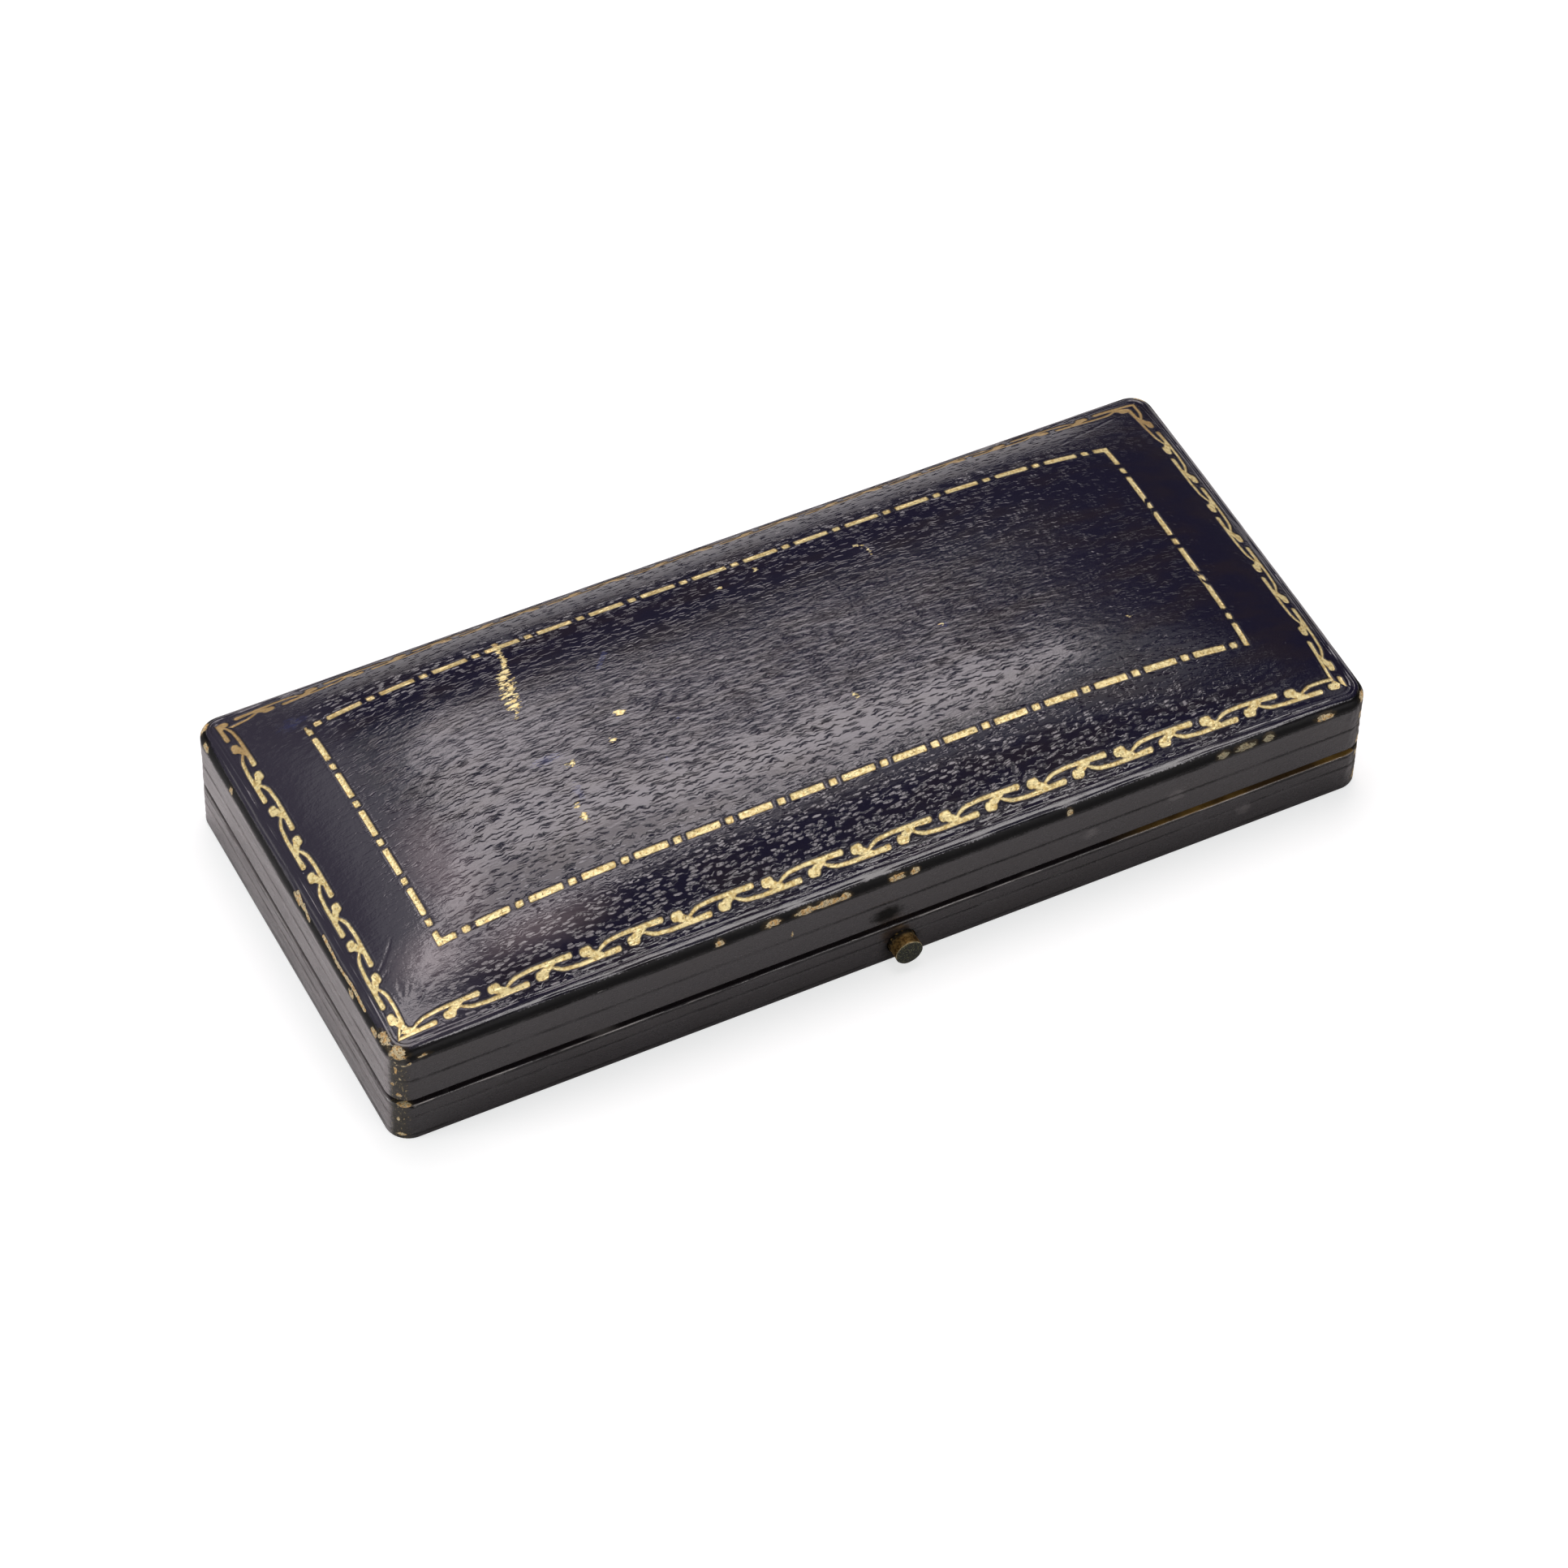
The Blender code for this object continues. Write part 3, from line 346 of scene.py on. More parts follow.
def roll_distance(x, y):
    """Signed distance to the rolled border at plan points."""
    runs = (x, y, -x, -y)
    edges = (HALF_Y + y, HALF_X - x, HALF_Y - y, HALF_X + x)
    spans = (HALF_X, HALF_Y, HALF_X, HALF_Y)
    gaps = np.stack([edge - low - (high - low) * (run / span + 1) / 2 for edge, run, span, (_, _, low, high)
                     in zip(edges, runs, spans, SIDES.values())])
    side = gaps.argmin(axis=0)
    across = gaps.min(axis=0)
    best = np.full(x.shape, NOWHERE)
    for index, (run, (unit, phase, _, _)) in enumerate(zip(runs, SIDES.values())):
        here = (side == index) & (across > -1) & (across < ROLL_WIDTH + 1)
        along = (run[here] - phase) * UNIT / unit
        value = np.full(along.shape, NOWHERE)
        for flip in (0, 1):
            local = along - flip * UNIT / 2
            level = ROLL_WIDTH - across[here] if flip else across[here]
            nearest = local - UNIT * np.round(local / UNIT)
            for shift in (-UNIT, 0, UNIT):
                value = np.maximum(value, stroke_distance(nearest + shift, level))
        best[here] = value
    return best


print("strokes in the roll's half unit:", len(STROKES))

# %% [markdown]
# Inside the border stands a frame of dashes and dots. It was pressed line by line, by hand, so its
# four sides aren't quite parallel and each starts in its own way. A side is a straight line between
# two corners, with the stretches along it that carry gold.

# %% Gold frame as distances
LONG_HALF, SHORT_HALF = 0.42, 0.37
FRAME_CORNERS = {"front": ((-54.1, -18.45), (53.0, -18.15)), "rear": ((-54.4, 18.6), (53.3, 17.7)),
                 "left": ((-54.1, -18.45), (-54.4, 18.6)), "right": ((53.0, -18.15), (53.3, 17.7))}


def dots_and_dashes(first, step, count, dot, gap):
    """The spans of a row of dots with a dash after each of them but the last."""
    places = [first + step * index for index in range(count)]
    return ([(place - dot, place + dot) for place in places]
            + [(place + dot + gap, place + step - dot - gap) for place in places[:-1]])


FRAME_BARS = {
    "front": [(-54.45, -52.0)] + dots_and_dashes(-50.7, 6.8, 16, 0.52, 0.68),
    "rear": [(51.6, 53.7), (-54.7, -54.35)] + dots_and_dashes(-53.0, 6.89, 16, 0.5, 0.7),
    "left": [(-18.8, -16.9)] + dots_and_dashes(-15.5, 6.65, 6, 0.52, 0.66),
    "right": [(-18.6, -15.0), (14.4, 17.6)] + dots_and_dashes(-13.9, 6.75, 5, 0.52, 0.68),
}


def frame_distance(x, y):
    """Signed distance to the inner frame of dashes and dots."""
    best = np.full(x.shape, NOWHERE)
    for name, ((x0, y0), (x1, y1)) in FRAME_CORNERS.items():
        if name in ("front", "rear"):
            along, across, half = x, y - y0 - (y1 - y0) * (x - x0) / (x1 - x0), LONG_HALF
        else:
            along, across, half = y, x - x0 - (x1 - x0) * (y - y0) / (y1 - y0), SHORT_HALF
        for low, high in FRAME_BARS[name]:
            inside = np.minimum(np.minimum(along - low, high - along), half - np.abs(across))
            best = np.maximum(best, inside)
    return best


def gilt_distance(x, y):
    return np.maximum(roll_distance(x, y), frame_distance(x, y))


print("stretches of gold in the frame:", sum(len(bars) for bars in FRAME_BARS.values()))

# %% [markdown]
# The skin of the lid is built as rings that run round the box, each a rounded rectangle. Rings lie
# close together where the tooling is fine, and further apart where the leather is plain. Where a
# ring needs fewer points than its neighbour, every second point is left out and the two are sewn
# with triangles. The shape of each ring comes from the height formula, so it matches the CAD skin.

# %% Rings of points
FINE = {"corner": 80, "long": 640, "short": 276}
QUARTER = math.radians(90)


def ring_plan(inset, radius, coarse=1):
    """Plan points of a rounded rectangle, anticlockwise from the front right corner."""
    half_x, half_y = HALF_X - inset, HALF_Y - inset
    steps = FINE["corner"] // coarse
    corners = ((1, -1), (1, 1), (-1, 1), (-1, -1))
    parts = []
    for index, (side_x, side_y) in enumerate(corners):
        angle = QUARTER * (index - 1) + QUARTER * np.arange(steps + 1) / steps
        arc = np.stack([side_x * (half_x - radius) + radius * np.cos(angle),
                        side_y * (half_y - radius) + radius * np.sin(angle)], axis=1)
        count = (FINE["short"] if index % 2 == 0 else FINE["long"]) // coarse
        next_x, next_y = corners[(index + 1) % 4]
        goal = np.array([next_x * (half_x - radius) + radius * math.cos(QUARTER * index),
                         next_y * (half_y - radius) + radius * math.sin(QUARTER * index)])
        share = (np.arange(1, count) / count)[:, None]
        parts += [arc, arc[-1] + (goal - arc[-1]) * share]
    return np.concatenate(parts)


def ring_radius(inset):
    """The corner radius of a ring: the box's own on the shoulder, wider on the crown."""
    if inset <= SHOULDER_RUN:
        return max(CORNER - inset, 1.0)
    return min(CORNER - SHOULDER_RUN + (inset - SHOULDER_RUN) * 0.8, (HALF_Y - inset) * 0.7)


def flat_ring(inset, level, coarse, radius=None):
    """A level ring, which keeps the box's own rounding at its corners unless a radius is given."""
    plan = ring_plan(inset, radius or max(CORNER - inset, 1.0), coarse)
    return np.column_stack([plan, np.full(len(plan), level)])


class Skin:
    """Gathers rings of points into one mesh."""

    def __init__(self):
        self.points, self.faces, self.rows = [], [], []
        self.total = 0

    def add(self, points):
        """Adds a ring and sews it to the one before it."""
        row = np.arange(self.total, self.total + len(points))
        self.points.append(points)
        self.total += len(points)
        if self.rows:
            self.sew(self.rows[-1], row)
        self.rows.append(row)
        return row

    def sew(self, old, new):
        if len(old) == len(new):
            self.faces.append(np.stack([old, np.roll(old, -1), np.roll(new, -1), new], axis=1))
            return
        fine, thin, flip = (old, new, False) if len(old) > len(new) else (new, old, True)
        first, middle, last = fine[0::2], fine[1::2], np.roll(fine, -2)[0::2]
        after = np.roll(thin, -1)
        for triangle in ((first, middle, thin), (middle, after, thin), (middle, last, after)):
            face = np.stack(triangle, axis=1)
            self.faces.append(face[:, ::-1] if flip else face)

    def cap(self, row, coarse, up):
        """Closes the innermost ring with a strip of faces between its long sides."""
        count = len(row)
        middle = (FINE["corner"] + FINE["short"] // 2) // coarse
        pairs = [(row[(middle - step) % count], row[(middle + step) % count])
                 for step in range(count // 2 + 1)]
        for (a, b), (c, d) in zip(pairs, pairs[1:]):
            face = [a, b, d, c] if up else [c, d, b, a]
            clean = list(dict.fromkeys(int(value) for value in face))
            if len(clean) > 2:
                self.faces.append(np.array([clean]))

    def mesh(self, name):
        mesh = bpy.data.meshes.new(name)
        mesh.from_pydata((np.concatenate(self.points) * MM).tolist(), [],
                         [face for block in self.faces for face in block.tolist()])
        mesh.update()
        return mesh


print("points in a fine ring:", len(ring_plan(1.0, 2.0)))

# %% [markdown]
# Real leather is never quite smooth. Long soft swells come from the board and the wadding below it,
# and they bend the reflections. A sum of plane waves with seeded directions gives such swells, the
# same in each run. The creases, the blind lines and the gold tooling are pressed in the same way:
# each gives a height in millimetres, and the heights are added along the skin's own direction.

# %% Swells, creases and pressed lines
def swell(points, sizes, seed, count=14):
    """A soft random height from about -1 to 1; sizes are the lengths of its waves in mm."""
    draw = np.random.default_rng(seed)
    ways = draw.normal(size=(count, 3))
    ways /= np.linalg.norm(ways, axis=1)[:, None]
    ways *= draw.uniform(0.6, 1.5, (count, 1)) * math.tau / np.array(sizes)
    offsets = draw.uniform(0, math.tau, count)
    total = np.zeros(len(points))
    for way, offset in zip(ways, offsets):
        total += np.cos(points @ way + offset)
    return total / math.sqrt(count / 2) / 1.6


def smooth(value, low, high):
    share = np.clip((value - low) / (high - low), 0, 1)
    return share * share * (3 - 2 * share)


def groove(away, wide):
    """The section of a rounded groove, 1 at its middle."""
    return np.exp(-(away / wide) ** 2)


def line_gap(points, path):
    """The distance from each point to a bent line, in mm."""
    best = np.full(len(points), 99.0)
    for start, end in zip(path, path[1:]):
        start, end = np.array(start, float), np.array(end, float)
        way = end - start
        share = np.clip((points - start) @ way / (way @ way), 0, 1)
        best = np.minimum(best, np.linalg.norm(points - start - share[:, None] * way, axis=1))
    return best


GILT_DEPTH, GILT_LIP, CREASE_DEPTH, CREASE_WIDE = 0.085, 0.03, 0.07, 0.16
TOP_CREASES = [
    [(-62.2, -18.2), (-60.9, -17.2), (-59.8, -16.2), (-58.9, -15.2)],
    [(-61.9, -18.9), (-60.6, -18.3), (-59.6, -17.6), (-58.6, -17.0), (-57.9, -16.6)],
    [(-60.6, -20.4), (-60.4, -21.6), (-59.3, -21.9), (-58.4, -22.1)],
    [(-59.5, -23.9), (-57.8, -22.6), (-56.0, -21.9), (-54.2, -21.6)],
    [(-48.2, -17.1), (-49.5, -16.0), (-50.4, -14.8)],
    [(49.0, 21.0), (51.3, 22.1), (54.2, 23.0), (58.4, 24.6)],
    [(54.5, 15.4), (56.9, 18.6), (59.0, 22.2)],
]
# The thin lines round the rim: how far in each lies, its depth and its half width
RIM_LINES = ((0.62, 0.05, 0.12), (1.34, 0.09, 0.1), (1.74, 0.06, 0.09))
BLIND_DEPTH, BLIND_HALF, FOLD_DEPTH, FOLD_WIDE = 0.12, 0.24, 0.11, 0.12


def top_press(points):
    """How far the lid's top is pressed in or stands out, in mm, at points on it."""
    gilt = gilt_distance(points[:, 0], points[:, 1])
    height = -GILT_DEPTH * smooth(gilt, -0.06, 0.07)
    height += GILT_LIP * smooth(gilt, -0.4, -0.1) * smooth(-gilt, 0.02, 0.14)
    height += 0.02 * swell(points, (14, 9, 9), 3) + 0.006 * swell(points, (3.2, 2.2, 3), 4)
    for path in TOP_CREASES:
        height -= CREASE_DEPTH * groove(line_gap(points[:, :2], path), CREASE_WIDE)
    return height


def edge_press(inset, points):
    """The thin lines that run round the rim outside the gold."""
    height = 0.006 * swell(points, (3.0, 3.0, 1.2), 9)
    for level, depth, wide in RIM_LINES:
        wander = 0.05 * swell(points, (14, 14, 9), int(level * 100))
        height -= depth * (1 + 0.5 * swell(points, (5, 5, 5), 8)) * groove(inset - level - wander, wide)
    return height


def wall_press(points, line_level, fold_level):
    """The blind line, the fold under the shoulder and the long streaks of the walls."""
    z = points[:, 2]
    wander = 0.04 * swell(points, (16, 16, 90), 11)
    height = -BLIND_DEPTH * np.clip(1 - np.abs(z - line_level - wander) / BLIND_HALF, 0, 1)
    uneven = 0.75 + 0.5 * swell(points, (7, 7, 90), 12)
    height -= FOLD_DEPTH * groove(z - fold_level - 2 * wander, FOLD_WIDE) * uneven
    streak = swell(points, (22, 22, 0.9), 13) + 0.6 * swell(points, (9, 9, 0.6), 14)
    near_corner = smooth(np.abs(points[:, 0]) / HALF_X + np.abs(points[:, 1]) / HALF_Y, 1.86, 1.97)
    rough = swell(points, (1.1, 1.1, 1.3), 15)
    return height + 0.012 * streak + 0.015 * swell(points, (12, 12, 6), 16) + 0.05 * near_corner * rough


print("creases on the top:", len(TOP_CREASES))

# %% [markdown]
# The rims have openings for the hinges, the catch and the bevel that lets the lid lie back. On the
# real box they were cut with a knife before the leather was turned in. Here each is cut out with a
# solid tool, which is always a flat outline stretched along one axis.

# %% Cutting tools
OVERLAP = 1.0
BEVEL_ANGLE, BEVEL_RUN = 50, 0.85


def write_shape(shape, mesh):
    """Turns the faces of an edited mesh outwards, writes it back and gives the number of its open edges."""
    bmesh.ops.recalc_face_normals(shape, faces=shape.faces)
    gaps = sum(len(edge.link_faces) != 2 for edge in shape.edges)
    shape.to_mesh(mesh)
    shape.free()
    return gaps


def prism(outline, axis, low, high):
    """A cutter: an outline in mm, stretched along an axis, 0 for x, 1 for y and 2 for z."""
    count = len(outline)
    points = [tuple(np.insert(np.array(corner, float), axis, end) * MM)
              for end in (low, high) for corner in outline]
    sides = [(step, (step + 1) % count, count + (step + 1) % count, count + step) for step in range(count)]
    mesh = bpy.data.meshes.new("cutter")
    mesh.from_pydata(points, [], sides + [tuple(range(count)), tuple(range(2 * count - 1, count - 1, -1))])
    shape = bmesh.new()
    shape.from_mesh(mesh)
    write_shape(shape, mesh)
    return add_object("cutter", mesh)


def block_cutter(low, high):
    (x0, y0, z0), (x1, y1, z1) = low, high
    return prism([(x0, y0), (x1, y0), (x1, y1), (x0, y1)], 2, z0, z1)


def bevel_cutter(side):
    """The wedge along the rear rim: side is -1 for the base and 1 for the lid."""
    run = BEVEL_RUN + OVERLAP
    rise = side * math.tan(math.radians(BEVEL_ANGLE)) * run
    back = HALF_Y + OVERLAP
    return prism([(back - run, HINGE_Z), (back, HINGE_Z), (back, HINGE_Z + rise)], 0,
                 -HALF_X - OVERLAP, HALF_X + OVERLAP)


def round_cutter(x, z, radius, low, high, steps=48):
    turns = [math.tau * step / steps for step in range(steps)]
    outline = [(x + radius * math.cos(turn), z + radius * math.sin(turn)) for turn in turns]
    return prism(outline, 1, low, high)


def hinge_cutters(low, high):
    half = HINGE_LENGTH / 2 + 0.3
    return [block_cutter((side * HINGE_X - half, HALF_Y - BASE_INNER - OVERLAP, low),
                         (side * HINGE_X + half, HALF_Y + OVERLAP, high)) for side in (-1, 1)]


def settled(item):
    """Gives an object the mesh that its modifiers make, and takes the modifiers away."""
    bpy.context.view_layer.update()
    mesh = bpy.data.meshes.new_from_object(item.evaluated_get(bpy.context.evaluated_depsgraph_get()))
    item.modifiers.clear()
    old, item.data = item.data, mesh
    bpy.data.meshes.remove(old)
    return item


def carve(item, cutters):
    for cutter in cutters:
        modifier = item.modifiers.new("cut", "BOOLEAN")
        modifier.operation, modifier.solver, modifier.object = "DIFFERENCE", "EXACT", cutter
    settled(item)
    for cutter in cutters:
        bpy.data.objects.remove(cutter, do_unlink=True)
    return item


print("cutting tools ready")

# %% [markdown]
# A wall is a stack of rings that share one plan, and the top is a nest of rings that grow smaller.
# Each ring is laid on the smooth form first and then moved by the pressed heights: outwards on a
# wall, upwards on the top, and between the two on the shoulder. It never moves out past the CAD
# skin, so the new skin keeps the size of the part.

# %% Rings of the walls and the top
def outward(plan):
    """The outward direction in plan at each point of a ring."""
    way = np.roll(plan, -1, axis=0) - np.roll(plan, 1, axis=0)
    way /= np.linalg.norm(way, axis=1)[:, None]
    return np.stack([way[:, 1], -way[:, 0]], axis=1)


def raise_points(points, side_share, height):
    """Points moved by a height; the share is 1 for straight out and 0 for straight up."""
    up = np.full(len(points), math.sqrt(max(0.0, 1 - side_share ** 2)))
    return points + np.column_stack([outward(points[:, :2]) * side_share, up]) * height[:, None]


def wall_rows(low, high, lines, spacing=0.34):
    """Levels for the rings of a wall, closer together at its pressed lines."""
    levels = set(np.round(np.linspace(low, high, int((high - low) / spacing) + 2), 3))
    for centre in lines:
        for step in (-0.24, -0.12, 0, 0.12, 0.24):
            extra = centre + step
            if low < extra < high:
                levels = {level for level in levels if abs(level - extra) > 0.06 or level in (low, high)}
                levels.add(round(extra, 3))
    return sorted(levels)


def wall_ring(level, lines):
    points = flat_ring(0, level, 2)
    return raise_points(points, 1.0, np.minimum(wall_press(points, *lines) - 0.02, 0.0))


def crown_ring(inset, coarse, drop=0.0):
    """A ring of the lid's top or, dropped by the leather's thickness, of its hidden side."""
    plan = ring_plan(inset, ring_radius(inset), coarse)
    level = crown_level(plan[:, 0], plan[:, 1], inset)
    if drop:
        inner = ring_plan(inset + drop, max(ring_radius(inset) - drop, 0.4), coarse)
        return np.column_stack([inner, level - drop])
    points = np.column_stack([plan, level])
    run = min(inset / SHOULDER_RUN, 1)
    height = edge_press(inset, points) * smooth(-inset, -2.1, -1.7)
    height += top_press(points) * smooth(inset, 1.0, 1.7)
    return raise_points(points, 1 - run, np.minimum(height - 0.07 * run, 0.3 * run))


print("rings in the lid's wall:", len(wall_rows(LID_LOW, WALL_TOP, LID_LINES)))

# %% [markdown]
# The lid's skin goes from the middle of the hidden side, down behind the wall, round the rim and up
# over the top, as one closed shell. Its openings are cut in a short lower band, where the mesh is
# coarse. The band is then sewn to the fine upper part, whose rings it shares at the seam.

# %% Skin of the lid
SEAM = 8.6
WINDOW_HALF = 6.3
# Insets and heights of the three rings that round off an edge
SOFT_EDGE = ((0.25, 0.0), (0.13, 0.035), (0.035, 0.13))
HIDDEN_INSETS = (28.0, 25.5, 22.5, 19.0, 15.5, 12.0, 9.0, 6.5, 4.5, 3.0, 2.0, 1.5, 1.0, 0.5, 0.2)
# Insets of the rings from the shoulder inwards, each with how much coarser it is than the finest
CROWN_ROWS = [(SHOULDER_RUN * (1 - math.cos(turn)), 1) for turn in np.radians(np.linspace(0, 90, 34))]
CROWN_ROWS += [(inset, coarse) for start, stop, step, coarse in
               ((1.62, 4.25, 0.112, 1), (4.5, 8.1, 0.38, 2), (8.15, 11.8, 0.165, 2))
               for inset in np.arange(start, stop, step)]
CROWN_ROWS += [(inset, 4) for inset in np.linspace(12.2, 28.2, 38)]


def make_lid_top():
    """The part above the seam, and the ring of points at the seam."""
    upper = Skin()
    hidden = [upper.add(crown_ring(inset, 4, SKIN)) for inset in HIDDEN_INSETS]
    upper.cap(hidden[0], 4, False)
    upper.add(flat_ring(SKIN, WALL_TOP - 0.3, 4))
    upper.add(flat_ring(SKIN, SEAM, 2))
    upper.rows = []
    wall = [wall_ring(level, LID_LINES) for level in wall_rows(SEAM, WALL_TOP, LID_LINES)[:-1]]
    for ring in wall:
        upper.add(ring)
    for inset, coarse in CROWN_ROWS:
        last = upper.add(crown_ring(inset, coarse))
    upper.cap(last, 4, True)
    return upper.mesh("lid_skin"), wall[0]


def make_lid_rim(seam_ring):
    """The part below the seam, with its openings cut."""
    lower = Skin()
    sections = [(SKIN, SEAM), (SKIN, LID_LOW + TURN_IN), (LID_INNER, LID_LOW + TURN_IN)]
    sections += [(inset, LID_LOW) for inset in (LID_INNER, 2.4, 1.3)]
    sections += [(inset, LID_LOW + rise) for inset, rise in SOFT_EDGE]
    for inset, level in sections:
        points = flat_ring(inset, level, 2)
        if LID_LOW <= level < LID_LOW + 0.1 and inset < LID_INNER:
            points[:, 2] += np.maximum(0.03 * swell(points, (6, 6, 6), 21), 0)
        lower.add(points)
    for level in (LID_LOW + 0.25, 7.65, 7.97, 8.28):
        lower.add(wall_ring(level, LID_LINES))
    lower.add(seam_ring)
    lower.sew(lower.rows[-1], lower.rows[0])
    rim = add_object("lid_rim", lower.mesh("lid_rim"))
    window = block_cutter((BUTTON_X - WINDOW_HALF, SKIN + 0.15 - HALF_Y, LID_LOW - OVERLAP),
                          (BUTTON_X + WINDOW_HALF, LID_INNER + OVERLAP - HALF_Y, LID_LOW + TURN_IN + 0.125))
    return carve(rim, hinge_cutters(LID_LOW - OVERLAP, LID_LOW + 0.7) + [bevel_cutter(1), window])


def make_lid_skin():
    mesh, seam_ring = make_lid_top()
    rim = make_lid_rim(seam_ring)
    shape = bmesh.new()
    shape.from_mesh(rim.data)
    lids = [face for face in shape.faces if all(abs(vert.co.z - SEAM * MM) < 1e-7 for vert in face.verts)]
    bmesh.ops.delete(shape, geom=lids, context="FACES")
    shape.from_mesh(mesh)
    near = [vert for vert in shape.verts if abs(vert.co.z - SEAM * MM) < 1e-6]
    bmesh.ops.remove_doubles(shape, verts=near, dist=2e-6)
    print("open edges of the lid's skin:", write_shape(shape, mesh))
    bpy.data.objects.remove(rim, do_unlink=True)
    return add_object("lid_skin", mesh)


def finish_shading(item, degrees=50):
    item.data.shade_smooth()
    item.data.set_sharp_from_angle(angle=math.radians(degrees))
    return item


lid_skin = finish_shading(make_lid_skin())

# %% [markdown]
# The base's skin is one band: from under the floor, up the wall, over the rim and down inside, back
# to where it began. It has a round hole for the button, a slot for the catch's hook and the same
# hinge seats and bevel as the lid.

# %% Skin of the base
HOLE_RADIUS, SLOT_HALF, SLOT_FRONT = 1.93, 2.3, 2.1


def make_base_skin():
    rows = Skin()
    for inset, level in ((UNDER_TURN, 0), (4.4, 0), (2.3, 0), *SOFT_EDGE):
        rows.add(flat_ring(inset, level, 2))
    for level in wall_rows(0.25, BASE_TOP - 0.25, BASE_LINES, 0.3):
        rows.add(wall_ring(level, BASE_LINES))
    rim = [(inset, BASE_TOP - drop) for inset, drop in SOFT_EDGE[::-1]]
    rim += [(inset, BASE_TOP) for inset in (0.9, 1.7, 2.8, BASE_INNER)]
    inside = [(BASE_INNER, BASE_TOP - TURN_IN), (SKIN, BASE_TOP - TURN_IN), (SKIN, TURN_IN),
              (UNDER_TURN, TURN_IN)]
    for inset, level in rim + inside:
        points = flat_ring(inset, level, 2)
        if 0.2 < inset < BASE_INNER and level == BASE_TOP:
            points[:, 2] -= np.maximum(0.03 * swell(points, (6, 6, 6), 22), 0)
        rows.add(points)
    rows.sew(rows.rows[-1], rows.rows[0])
    skin = add_object("base_skin", rows.mesh("base_skin"))
    inner = BASE_INNER + OVERLAP - HALF_Y
    return carve(skin, hinge_cutters(BASE_TOP - 0.7, BASE_TOP + OVERLAP) + [
        bevel_cutter(-1), round_cutter(BUTTON_X, BUTTON_Z, HOLE_RADIUS, -HALF_Y - OVERLAP, inner),
        block_cutter((BUTTON_X - SLOT_HALF, SLOT_FRONT - HALF_Y, BUTTON_Z),
                     (BUTTON_X + SLOT_HALF, inner, BASE_TOP + OVERLAP))])


base_skin = finish_shading(make_base_skin())
for skin, node, body in ((lid_skin, "lid_leather", "lid"), (base_skin, "base_leather", "base")):
    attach(skin, body)
    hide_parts(node)
    print(skin.name, "faces:", len(skin.data.polygons))

# %% [markdown]
# Age is what makes this leather real: the dye is rubbed off along the edges and shows tan, the gold
# has left stray flecks, and fingers have darkened the wall round the button. The places are listed
# here, each as a soft blob, and stored on the skins as one number per vertex. The shader
# breaks their edges up with noise, so a coarse mesh still gives ragged, fine edged marks.

# %% Places of wear
def trail(path, radius, step=0.5):
    """A row of small blobs along a bent line."""
    blobs = []
    for start, end in zip(path, path[1:]):
        start, end = np.array(start, float), np.array(end, float)
        count = max(1, int(np.linalg.norm(end - start) / step))
        blobs += [(*(start + (end - start) * index / count), radius, radius, radius)
                  for index in range(count)]
    return blobs


# Scratches in the dye of the left shoulder and of the corner in front of it, with their half widths
SCRATCHES = (
    ([(-64.55, -8.6, 15.9), (-64.75, -13.2, 15.6), (-64.6, -17.0, 15.75), (-64.7, -20.8, 15.5)], 0.26),
    ([(-64.75, -0.8, 15.5), (-64.9, -2.6, 15.2)], 0.3),
    ([(-64.5, -1.2, 15.95), (-64.8, -3.6, 15.4)], 0.3),
    ([(-64.6, -3.2, 15.75), (-64.9, -5.4, 15.2)], 0.28),
    ([(-64.4, -28.0, 13.9), (-64.2, -28.3, 13.4), (-63.3, -28.8, 13.6), (-62.6, -28.9, 14.0)], 0.22),
)
# Stray gold: where it was dragged over the top, with its half width and the step between blobs
DRAGS = (
    ([(16.2, 13.8, 23.6), (17.2, 13.1, 23.6), (17.5, 11.2, 23.7)], 0.3, 0.35),
    ([(-29.5, 19.4, 22.2), (-30.0, 15.5, 23.25), (-31.0, 13.2, 23.55)], 0.42, 0.4),
    ([(-31.0, 13.4, 24.0), (-31.9, 10.0, 24.15), (-32.3, 7.6, 24.25)], 1.05, 0.4),
    ([(-32.4, 7.0, 23.85), (-33.0, 5.4, 23.85)], 0.34, 0.5),
)
